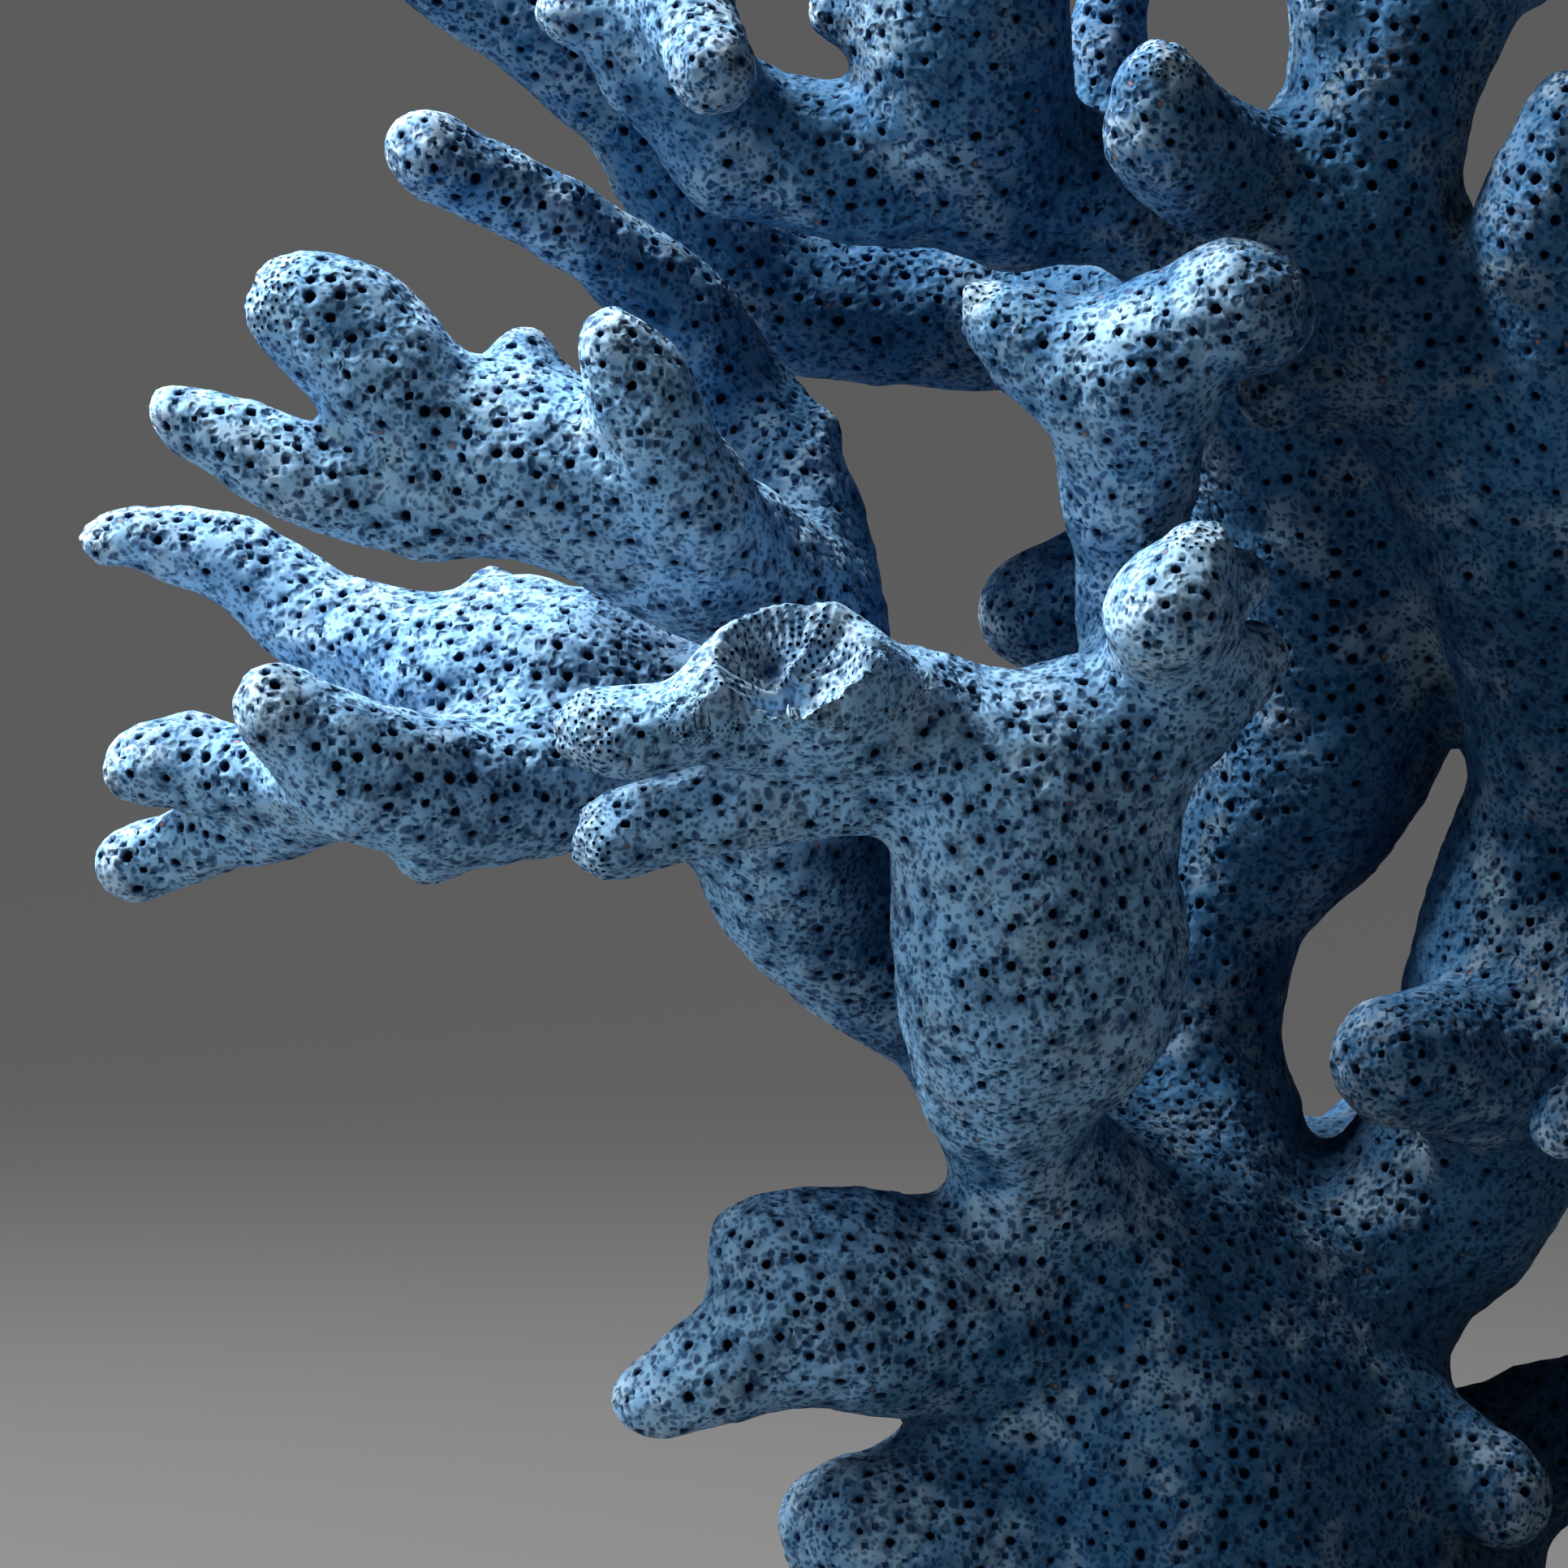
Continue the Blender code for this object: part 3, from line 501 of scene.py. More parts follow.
def places_of(mesh):
    places = np.empty(len(mesh.vertices) * 3, np.float32)
    mesh.vertices.foreach_get("co", places)
    return places.reshape(-1, 3).astype(float)


def normals_of(mesh):
    normals = np.empty(len(mesh.vertices) * 3, np.float32)
    mesh.vertex_normals.foreach_get("vector", normals)
    return normals.reshape(-1, 3).astype(float)


def middles_of(mesh):
    middles = np.empty(len(mesh.polygons) * 3, np.float32)
    mesh.polygons.foreach_get("center", middles)
    return middles.reshape(-1, 3).astype(float)


def values_of(mesh, label):
    """A number at each corner, by its label."""
    values = np.empty(len(mesh.vertices), np.float32)
    mesh.attributes[label].data.foreach_get("value", values)
    return values.astype(float)


def set_places(mesh, places):
    mesh.vertices.foreach_set("co", places.astype(np.float32).ravel())
    mesh.update()


def smoothed(mesh, values, rounds):
    """Values at the vertices, each drawn towards the mean of its neighbours, round after round."""
    ends = np.empty(len(mesh.edges) * 2, np.int32)
    mesh.edges.foreach_get("vertices", ends)
    a, b = ends.reshape(-1, 2).T
    count = len(mesh.vertices)
    share = np.maximum(np.bincount(a, minlength=count) + np.bincount(b, minlength=count), 1)
    for _ in range(rounds):
        total = np.stack([
            np.bincount(a, column[b], count) + np.bincount(b, column[a], count) for column in values.T
        ], axis=1)
        values = 0.5 * values + 0.5 * total / share[:, None]
    return values


def cut_foot(skin):
    """Everything under the bed that the coral stood on is cut away, and the cut is flat."""
    make_active(skin)
    bpy.ops.object.mode_set(mode="EDIT")
    bpy.ops.mesh.select_all(action="SELECT")
    bpy.ops.mesh.bisect(plane_co=(0, 0, 0), plane_no=(0, 0, 1), use_fill=True, clear_inner=True)
    bpy.ops.object.mode_set(mode="OBJECT")


# What the finish reads from the skin's form, and how open each place is, which sets its painted light and
# shade.
FORM_ROUNDS = 40  # rounds of smoothing, after which only the colony's broad form is left
TIP_RISE = 1.0 * MM  # how far a finger's tip stands out of the broad form
HOLLOW_SINK = 1.0 * MM  # how far a stained hollow lies below it
SKY_RAYS = 48  # towards all sides, to find how open a place of the skin is
SKY_REACH = 22 * MM  # how far a ray is followed
SKY_STRIDE = 24  # one corner in this many casts rays
SKY_ROUNDS = 24  # rounds that ease what they found over the corners between
FOOT_LIGHT_SHARE = 0.55  # of the open places' painted light that is kept near the foot, so that the foot gets painted shade
LOW_START, LOW_END = 5 * MM, 60 * MM  # the heights over which that share grows to all

# The stub's end is broken open, and these ends are worn down to a fine honeycomb: middle and radius.
WORN_ENDS = [
    ((-45.5, -32.5, 64), 3.4),
    ((-45.5, -27, 57), 3),
    ((-8, -33.5, 76.5), 2.6),
    ((-21.5, -27.5, 91), 2.6),
    ((-66, -24, 91.5), 4),
    ((-10, -30.5, 105.5), 2.6),
]
END_CUTS = 3  # new corners along an edge of the skin at those ends
WEAR_DEPTH = 0.32 * MM  # of the pits that the worn ends have
WEAR_SIZE = 1.3 * MM
CRATER_MIDDLE = Vector((-32.4, -33.6, 68.3)) * MM
CRATER_WAY = Vector((-0.08, -0.56, 0.82)).normalized()
CRATER_HALF_WIDTH = 4.4 * MM
CRATER_HALF_DEPTH = 3.7 * MM  # from its front lip to its back crest, halved
CRATER_SINK = 2.1 * MM
CRATER_FOOT = 1.9  # where its outer flank ends, in widths of the crater
CREST = 1.3 * MM  # how much higher the back crest stands than the sides
LIP_SINK = 1.5 * MM  # how much lower the front lip is
CREST_JAG = 0.6 * MM  # how ragged the crest is
CREST_TEETH = 0.3 * MM
PIT_SINK = 1.1 * MM  # how far the pit left of the bowl's middle sinks below it
GROOVES = 31  # that run down the crater's inner wall
GROOVE_DEPTH = 0.09 * MM


def hill(x, low, high):
    """A smooth step from 0 at low to 1 at high."""
    t = np.clip((x - low) / (high - low), 0, 1)
    return t * t * (3 - 2 * t)


def wobble(places, size, seed=0):
    """Soft noise from -1 to 1 at each place."""
    shift = Vector((seed * 7.3, seed * 3.1, seed * 5.7))
    return np.array([noise.noise(Vector(place) / size + shift) for place in places])


def crater_plan(places):
    """Each place in the crater's own frame: height over its rim's plane, turn, and 1 at the rim."""
    right = CRATER_WAY.cross((0, 0, 1)).normalized() * -1
    back = CRATER_WAY.cross(right).normalized()
    back = back if back.z > 0 else -back
    apart = places - np.array(CRATER_MIDDLE)
    height = apart @ np.array(CRATER_WAY)
    across, along_it = apart @ np.array(right), apart @ np.array(back)
    turn = np.arctan2(along_it, across)
    reach = np.hypot(across / CRATER_HALF_WIDTH, along_it / CRATER_HALF_DEPTH)
    return height, turn, reach


def refine_ends(skin):
    """The skin gets finer faces at its broken and worn ends."""
    mesh = skin.data
    middles = middles_of(mesh)
    height, _, reach = crater_plan(middles)
    fine = (reach < CRATER_FOOT) & (np.abs(height) < 4 * MM)
    for middle, radius in WORN_ENDS:
        fine |= np.linalg.norm(middles - np.array(middle) * MM, axis=1) < radius * MM
    mesh.polygons.foreach_set("select", fine)
    make_active(skin)
    bpy.ops.object.mode_set(mode="EDIT")
    bpy.ops.mesh.select_mode(type="FACE")
    bpy.ops.mesh.subdivide(number_cuts=END_CUTS, smoothness=0.6)
    bpy.ops.mesh.vertices_smooth(factor=0.5, repeat=4)
    bpy.ops.object.mode_set(mode="OBJECT")


def break_crater(places, normals):
    """A bowl with a jagged crest at the stub's end. Also how dark each place is painted in the grooves and
    the pit, a painted shade, and how bare it is.
    """
    way = np.array(CRATER_WAY)
    height, turn, reach = crater_plan(places)
    near = np.flatnonzero((reach < CRATER_FOOT) & (height > -3 * MM) & (normals @ way > -0.25))
    height, turn, reach = height[near], turn[near], reach[near]
    round_it = np.stack([np.cos(turn), np.sin(turn), 0 * turn], axis=1)
    jag = wobble(round_it, 0.45, 2)
    crest = CREST * hill(np.sin(turn), -0.5, 0.9) - LIP_SINK * hill(-np.sin(turn), 0.1, 0.9)
    crest = crest + CREST_JAG * jag + CREST_TEETH * wobble(round_it, 0.14, 6)
    hollow = np.exp(-((reach * np.cos(turn) + 0.3) ** 2 + (reach * np.sin(turn) - 0.25) ** 2) / 0.08)
    bowl = crest - CRATER_SINK * (1 - np.clip(reach, 0, 1) ** 2.4) - PIT_SINK * hollow
    groove = np.sin(GROOVES * turn + 3 * jag) * hill(reach, 0.35, 0.6) * hill(reach, 1.08, 0.92)
    bowl = bowl + GROOVE_DEPTH * groove
    share = hill(reach, CRATER_FOOT, 1)
    aim = np.where(reach < 1, bowl, height + np.maximum(crest - height, 0) * share)
    places[near] += (aim - height)[:, None] * way
    groove_and_pit_shade = np.zeros(len(places))
    bare = np.zeros(len(places))
    # The grooves' troughs and the pit left of the bowl's middle are painted dark: painted shade.
    groove_and_pit_shade[near] = np.maximum(0.45 * np.maximum(-groove, 0), 0.75 * hollow * (reach < 1))
    bare[near] = hill(reach, 1.25, 0.9) * (0.75 - 0.5 * hollow)
    return groove_and_pit_shade, bare


class CORAL_OT_break_ends(bpy.types.Operator):
    """Break the front stub open, and wear the finger ends down"""

    bl_idname = "coral.break_ends"
    bl_label = "Break and wear the ends"

    def execute(self, context):
        skin = bpy.data.objects[SKIN]
        refine_ends(skin)
        mesh = skin.data
        places = places_of(mesh)
        groove_and_pit_shade, bare = break_crater(places, normals_of(mesh))
        grain = bare > 0
        for middle, radius in WORN_ENDS:
            apart = np.linalg.norm(places - np.array(middle) * MM, axis=1) / (radius * MM)
            near = np.flatnonzero(apart < 1)
            broad_pits = WEAR_DEPTH * wobble(places[near], WEAR_SIZE, 4)
            pits = broad_pits + WEAR_DEPTH / 2 * wobble(places[near], WEAR_SIZE * 0.4, 5)
            places[near] += (pits * hill(apart[near], 1, 0.7))[:, None] * normals_of(mesh)[near]
            bare[near] = np.maximum(bare[near], 0.7 * hill(apart[near], 1, 0.6))
            grain[near] = True
        set_places(mesh, places)
        for label, values in (("pit", groove_and_pit_shade), ("bare", bare), ("grain", grain)):
            mesh.attributes.new(label, "FLOAT", "POINT").data.foreach_set("value", values.astype(np.float32))
        return {"FINISHED"}


class CORAL_OT_grow(bpy.types.Operator):
    """Grow one fine skin over all limbs, with its lumps, and cut the foot off flat"""

    bl_idname = "coral.grow"
    bl_label = "Grow the skin"

    def execute(self, context):
        settings = context.scene.coral_skin
        skin = grow_skin(settings.step)
        apply(skin, "REMESH", mode="VOXEL", voxel_size=settings.step)
        apply(skin, "DISPLACE", texture=cloud("lumps", LUMP_SIZE), texture_coords="LOCAL",
              strength=settings.lump_height, mid_level=0.5)
        apply(skin, "DISPLACE", texture=cloud("knobs", KNOB_SIZE), texture_coords="LOCAL",
              strength=settings.knob_height, mid_level=0.5)
        apply(skin, "SMOOTH", factor=0.5, iterations=2)
        cut_foot(skin)
        return {"FINISHED"}


def neighbours_of(mesh):
    """For each face, the faces that share an edge with it."""
    owners = {}
    for face in mesh.polygons:
        for key in face.edge_keys:
            owners.setdefault(key, []).append(face.index)
    beside = [[] for _ in mesh.polygons]
    for pair in owners.values():
        if len(pair) == 2:
            beside[pair[0]].append(pair[1])
            beside[pair[1]].append(pair[0])
    return beside


def sides_at_forks(middles):
    """For each fork, the side of its disc that a face near the disc is on, and 0 elsewhere."""
    sides = []
    for _, middle, way, radius in FORKS:
        way = np.array(Vector(way).normalized())
        apart = middles - np.array(middle) * MM
        height = apart @ way
        out = np.linalg.norm(apart - height[:, None] * way, axis=1)
        near = (out < FORK_REACH * radius * MM) & (np.abs(height) < FORK_DEPTH)
        sides.append(np.where(near, np.where(height < 0, -1, 1), 0))
    return np.array(sides).T


def markers():
    """A point near the end of each piece, by which the piece is known."""
    names = ["foot"] + list(dict.fromkeys(fork[0] for fork in FORKS))
    return {name: Vector(list(LIMBS[name].values())[0][-1][:3]) * MM for name in names}


def branches_of(mesh):
    """The name of each face's branch, found by a flood from face to face that no disc lets past."""
    middles = middles_of(mesh)
    sides = sides_at_forks(middles)
    touched = np.abs(sides).any(axis=1)
    beside = neighbours_of(mesh)
    area = [-1] * len(middles)
    sizes = []
    for start in range(len(middles)):
        if area[start] >= 0:
            continue
        number = len(sizes)
        area[start] = number
        front = [start]
        size = 0
        while front:
            face = front.pop()
            size += 1
            for other in beside[face]:
                if area[other] >= 0:
                    continue
                if touched[face] and touched[other] and (sides[face] * sides[other] < 0).any():
                    continue
                area[other] = number
                front.append(other)
        sizes.append(size)
    area = np.array(area)
    names = {}
    for name, place in markers().items():
        nearest = int(np.argmin(np.linalg.norm(middles - np.array(place), axis=1)))
        names.setdefault(int(area[nearest]), []).append(name)
    shared = [found for found in names.values() if len(found) > 1]
    if shared:
        raise ValueError(f"branches that no fork parts: {shared}")
    for number in range(len(sizes)):
        if number not in names:
            scrap = np.flatnonzero(area == number)
            rest = [area[other] for face in scrap for other in beside[face] if area[other] in names]
            if sizes[number] > SCRAP_FACES or not rest:
                raise ValueError(f"a part of the skin with {sizes[number]} faces has no name")
            area[scrap] = max(set(rest), key=rest.count)
    return [names[int(number)][0] for number in area]


def loop_round(vertex, faces, fans):
    """The corners round a vertex whose faces are all quads, in order, or None."""
    following = {}
    for index in fans[vertex]:
        corners = faces[index]
        if len(corners) != 4:
            return None
        at = corners.index(vertex)
        following[corners[at - 3]] = (corners[at - 2], corners[at - 1])
    start = next(iter(following))
    loop = [start]
    while True:
        between, ahead = following.pop(loop[-1], (None, None))
        if between is None:
            return None
        loop.append(between)
        if ahead == start:
            break
        loop.append(ahead)
    return None if following else loop


RIM_LIFT = 0.03 * MM  # how far a cup's rim stands out of the skin
RIM_PIT = 0.5  # how dark a cup's rim is painted, against 1 inside it, where the near-black is painted shade
PORE_PIT = 0.68  # and how dark a pore's floor is painted, deep blue with a little painted shade
WALL_SHARE = 0.8  # the width low in a cup against its rim's
CUT_MARGIN = 1.2 * MM  # no cup opens nearer to the foot's cut than this
CROWD_SIZE = 5 * MM  # across a patch where the cups are large and crowded
GRAIN_RADIUS = 0.15 * MM  # the honeycomb of the broken and worn ends
GRAIN_DEPTH = 0.26 * MM
GRAIN_SPACING = 0.4 * MM
UNDERSIDE = -0.35  # where a normal points down more than this, the cups lie further apart
UNDERSIDE_SPACING = 1.5


class Sculpt:
    """The skin's corners and faces while cups and pores are opened in it."""

    def __init__(self, mesh, names):
        self.places = places_of(mesh)
        self.normals = normals_of(mesh)
        self.faces = [list(face.vertices) for face in mesh.polygons]
        self.names = names
        self.fans = [[] for _ in self.places]
        for index, corners in enumerate(self.faces):
            for corner in corners:
                self.fans[corner].append(index)
        self.used = [len(corners) != 4 for corners in self.faces]
        self.grain = values_of(mesh, "grain") > 0.5
        self.halo = np.zeros(len(self.places))
        self.new_places = []
        self.new_pits = []
        self.new_parents = []
        self.new_faces = []
        self.new_names = []

    def add_corner(self, place, pit, parent):
        self.new_places.append(place)
        self.new_pits.append(pit)
        self.new_parents.append(parent)
        return len(self.places) + len(self.new_places) - 1

    def add_face(self, corners, name):
        self.new_faces.append(corners)
        self.new_names.append(name)

    def open_cup(self, vertex, loop, radius, depth, draw):
        """The faces round a vertex make way for a rim, a wall and a floor."""
        name = self.names[self.fans[vertex][0]]
        place, normal = self.places[vertex], self.normals[vertex]
        rim, wall = [], []
        for corner in loop:
            apart = self.places[corner] - place
            rise = apart @ normal
            flat = apart - rise * normal
            reach = float(np.linalg.norm(flat))
            out = min(radius * draw.uniform(0.82, 1.15), 0.8 * reach)
            lift = rise * (out / reach) ** 2 + RIM_LIFT
            way = flat / reach
            rim.append(self.add_corner(place + way * out + normal * lift, RIM_PIT, vertex))
            wall.append(self.add_corner(
                place + way * out * WALL_SHARE + normal * (lift - depth * 0.6), 1, vertex))
        floor = self.add_corner(place - normal * depth, 1, vertex)
        for i in range(len(loop)):
            j = (i + 1) % len(loop)
            self.add_face((loop[i], loop[j], rim[j], rim[i]), name)
            self.add_face((rim[i], rim[j], wall[j], wall[i]), name)
            self.add_face((wall[i], wall[j], floor), name)
        for index in self.fans[vertex]:
            self.used[index] = True
        self.halo[[vertex, *loop]] = draw.uniform(0.3, 1)

    def open_pore(self, index, depth, draw):
        """A quad sinks in its middle."""
        corners = self.faces[index]
        around = self.places[corners]
        middle = around.mean(axis=0)
        normal = self.normals[corners].mean(axis=0)
        size = draw.uniform(0.35, 0.55)
        aside, along_it = draw.uniform(-0.15, 0.15), draw.uniform(-0.15, 0.15)
        shift = (around[0] - middle) * aside + (around[1] - middle) * along_it
        inner = [
            self.add_corner(middle + shift + (place - middle) * size - normal * depth, PORE_PIT, corner)
            for place, corner in zip(around, corners)
        ]
        for i in range(4):
            j = (i + 1) % 4
            self.add_face((corners[i], corners[j], inner[j], inner[i]), self.names[index])
        self.add_face(tuple(inner), self.names[index])
        self.used[index] = True


def open_cups(sculpt, settings, draw):
    """Cups at the corners of the skin, each clear of the next."""
    tree = KDTree(len(sculpt.places))
    for index, place in enumerate(sculpt.places):
        tree.insert(place, index)
    tree.balance()
    blocked = [place[2] < CUT_MARGIN for place in sculpt.places]
    order = list(range(len(sculpt.places)))
    draw.shuffle(order)
    for vertex in order:
        if blocked[vertex]:
            continue
        fans = sculpt.fans[vertex]
        if any(sculpt.used[index] for index in fans):
            continue
        if len({sculpt.names[index] for index in fans}) > 1:
            continue
        loop = loop_round(vertex, sculpt.faces, sculpt.fans)
        if loop is None:
            continue
        if sculpt.grain[vertex]:
            sculpt.open_cup(vertex, loop, GRAIN_RADIUS, GRAIN_DEPTH * draw.uniform(0.6, 1.2), draw)
            spacing = GRAIN_SPACING * draw.uniform(0.9, 1.2)
        else:
            crowd = 0.5 + 0.5 * noise.noise(Vector(sculpt.places[vertex]) / CROWD_SIZE)
            size = draw.uniform(0.7, 1.1) * (0.8 + 0.5 * crowd)
            sculpt.open_cup(vertex, loop, settings.cup_radius * size, settings.cup_depth * size, draw)
            spacing = settings.cup_spacing * draw.uniform(0.85, 1.3) * (1.6 - 1.1 * crowd)
            if sculpt.normals[vertex][2] < UNDERSIDE:
                spacing *= UNDERSIDE_SPACING
        for corner in loop:
            blocked[corner] = True
        for _, index, _ in tree.find_range(sculpt.places[vertex], spacing):
            blocked[index] = True


def open_pores(sculpt, settings, draw):
    """Smaller pores in the faces between the cups, no two side by side."""
    order = [index for index, used in enumerate(sculpt.used) if not used]
    draw.shuffle(order)
    edges = set()
    for index in order:
        corners = sculpt.faces[index]
        keys = [tuple(sorted((corners[i], corners[i - 1]))) for i in range(4)]
        if any(key in edges for key in keys) or sculpt.places[corners][:, 2].min() < CUT_MARGIN:
            continue
        if sculpt.grain[corners].any():
            continue
        edges.update(keys)
        if draw.random() < settings.pore_share:
            sculpt.open_pore(index, settings.pore_depth * draw.uniform(0.6, 1.2), draw)


class CORAL_OT_open_pores(bpy.types.Operator):
    """Open the polyps' cups and the pores between them, and part the skin at its forks"""

    bl_idname = "coral.open_pores"
    bl_label = "Open cups and pores"

    def execute(self, context):
        settings = context.scene.coral_pores
        skin = bpy.data.objects[SKIN]
        mesh = skin.data
        places = places_of(mesh)
        rise = ((places - smoothed(mesh, places, FORM_ROUNDS)) * normals_of(mesh)).sum(axis=1)
        rise = smoothed(mesh, rise[:, None], 3)[:, 0]
        openness = openness_of(skin)
        sculpt = Sculpt(mesh, branches_of(mesh))
        draw = random.Random(settings.seed)
        open_cups(sculpt, settings, draw)
        open_pores(sculpt, settings, draw)
        bare = values_of(mesh, "bare")
        values = {
            "tip": np.maximum(hill(rise, TIP_RISE * 0.25, TIP_RISE), bare),
            "hollow": np.clip(-rise / HOLLOW_SINK, 0, 1),
            "open": openness,
            "halo": sculpt.halo,
        }
        part_branches(sculpt, values_of(mesh, "pit"), values)
        bpy.data.objects.remove(skin)
        return {"FINISHED"}


def openness_of(skin):
    """How open to the light each corner of the skin is, from 0 to 1, eased over its neighbours, and lowered
    near the foot. The finish paints light and shade from it.
    """
    mesh = skin.data
    places, normals = places_of(mesh), normals_of(mesh)
    tree = BVHTree.FromObject(skin, bpy.context.evaluated_depsgraph_get())
    turns = [math.pi * (1 + math.sqrt(5)) * i for i in range(SKY_RAYS)]
    rises = [1 - 2 * (i + 0.5) / SKY_RAYS for i in range(SKY_RAYS)]
    rays = [Vector((math.sqrt(1 - z * z) * math.cos(t), math.sqrt(1 - z * z) * math.sin(t), z))
            for t, z in zip(turns, rises)]
    seen = np.zeros((len(places), 2))
    for index in range(0, len(places), SKY_STRIDE):
        place, normal = Vector(places[index]), Vector(normals[index])
        ahead = [ray for ray in rays if ray.dot(normal) > 0.15]
        start = place + normal * 0.3 * MM
        free = sum(tree.ray_cast(start, ray, SKY_REACH)[0] is None for ray in ahead)
        seen[index] = (free / len(ahead), 1)
    total, weight = smoothed(mesh, seen, SKY_ROUNDS).T
    low = hill(places[:, 2], LOW_START, LOW_END)
    # Near the foot the openness drops to a share: painted shade on the lower parts.
    return total / np.maximum(weight, 1e-6) * (FOOT_LIGHT_SHARE + (1 - FOOT_LIGHT_SHARE) * low)


def part_branches(sculpt, crater_groove_and_shade, values):
    """A mesh for each branch, with what its material reads at its corners."""
    parents = np.concatenate([np.arange(len(sculpt.places)), np.array(sculpt.new_parents, int)])
    places = np.concatenate([sculpt.places, np.array(sculpt.new_places)])
    values = {label: numbers[parents] for label, numbers in values.items()}
    values["pit"] = np.concatenate([crater_groove_and_shade, np.array(sculpt.new_pits)])
    kept = [i for i, used in enumerate(sculpt.used) if not used or len(sculpt.faces[i]) != 4]
    faces = [sculpt.faces[i] for i in kept] + sculpt.new_faces
    names = [sculpt.names[i] for i in kept] + sculpt.new_names
    by_branch = {}
    for corners, name in zip(faces, names):
        by_branch.setdefault(name, []).append(corners)
    for name, own in by_branch.items():
        used = np.unique(np.concatenate([np.array(corners) for corners in own]))
        renumber = np.full(len(places), -1)
        renumber[used] = np.arange(len(used))
        mesh = bpy.data.meshes.new(name)
        mesh.from_pydata(places[used].tolist(), [], [renumber[list(corners)].tolist() for corners in own])
        for label, numbers in values.items():
            mesh.attributes.new(label, "FLOAT", "POINT").data.foreach_set(
                "value", numbers[used].astype(np.float32))
        piece = bpy.data.objects.new(name + "_coral", mesh)
        bpy.context.scene.collection.objects.link(piece)
        make_active(piece)
        bpy.ops.object.shade_smooth()
        close_forks(piece)
        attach(piece, "root")
        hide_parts(name)


def close_forks(piece):
    """The open rim at each fork is closed by a cap that the neighbour hides."""
    bpy.ops.object.mode_set(mode="EDIT")
    bpy.ops.mesh.select_mode(type="EDGE")
    bpy.ops.mesh.select_all(action="DESELECT")
    bpy.ops.mesh.select_non_manifold(extend=False, use_wire=False, use_multi_face=False,
                                     use_non_contiguous=False, use_verts=False)
    bpy.ops.mesh.mark_sharp()
    bpy.ops.mesh.fill_holes(sides=0)
    bpy.ops.object.mode_set(mode="OBJECT")


class Wiring:
    """Adds and links the nodes of one material."""

    def __init__(self, name):
        self.material = bpy.data.materials.new(name)
        self.material.use_nodes = True
        self.tree = self.material.node_tree
        self.tree.nodes.clear()

    def plug(self, socket, value):
        """A socket gets a link where the value is another socket, and else the value itself."""
        if isinstance(value, bpy.types.NodeSocket):
            self.tree.links.new(value, socket)
        else:
            socket.default_value = value

    def add(self, kind, inputs=None, **settings):
        made = self.tree.nodes.new("ShaderNode" + kind)
        for name, value in settings.items():
            setattr(made, name, value)
        for name, value in (inputs or {}).items():
            self.plug(made.inputs[name], value)
        return made

    def blend(self, factor, under, over):
        """One colour laid over another by a factor."""
        mix = self.add("Mix", data_type="RGBA")
        for number, value in ((0, factor), (6, under), (7, over)):
            self.plug(mix.inputs[number], value)
        return mix.outputs[2]

    def ramp(self, value, low, high, start=0.0, end=1.0):
        """A value from low to high eased to one from start to end."""
        return self.add("MapRange", {
            "Value": value, "From Min": low, "From Max": high, "To Min": start, "To Max": end,
        }, interpolation_type="SMOOTHSTEP").outputs["Result"]

    def maths(self, how, a, b):
        made = self.add("Math", operation=how)
        for socket, value in zip(made.inputs, (a, b)):
            self.plug(socket, value)
        return made.outputs[0]

    def noise(self, where, size, detail):
        return self.add("TexNoise", {
            "Vector": where, "Scale": 1 / size, "Detail": detail, "Roughness": 0.6,
        }).outputs["Fac"]

    def cells(self, where, size):
        """Distance from the middles of cells, in cell sizes, and a chance value for each cell."""
        made = self.add("TexVoronoi", {"Vector": where, "Scale": 1 / size}, feature="F1")
        chance = self.add("SeparateXYZ", {"Vector": made.outputs["Color"]}).outputs["X"]
        return made.outputs["Distance"], chance


STRAY_SIZE = 1.0 * MM  # of the noise that bends the rows of pores
STRAY_REACH = 0.5 * MM  # how far it moves them
CLOUD_SIZE = 6 * MM  # of the bleached clouds
PATCH_SIZE = 1.6 * MM  # of the patches that have wide pores
FINE_PORES = 0.42 * MM  # from pore to pore
WIDE_PORES = 0.9 * MM
PORE_RELIEF = 0.14 * MM
PAINTED_LIGHT_WAY = (-0.6, -0.8, 0)  # the side of the colony that gets painted light
PAINTED_SHADE_REACH, PAINTED_LIGHT_REACH = 8 * MM, 46 * MM  # along that way, from painted shade to painted light
TOP_SHADE_START, TOP_SHADE_END = 68 * MM, 100 * MM  # the heights over which the top gets bluer and darker, a painted shade
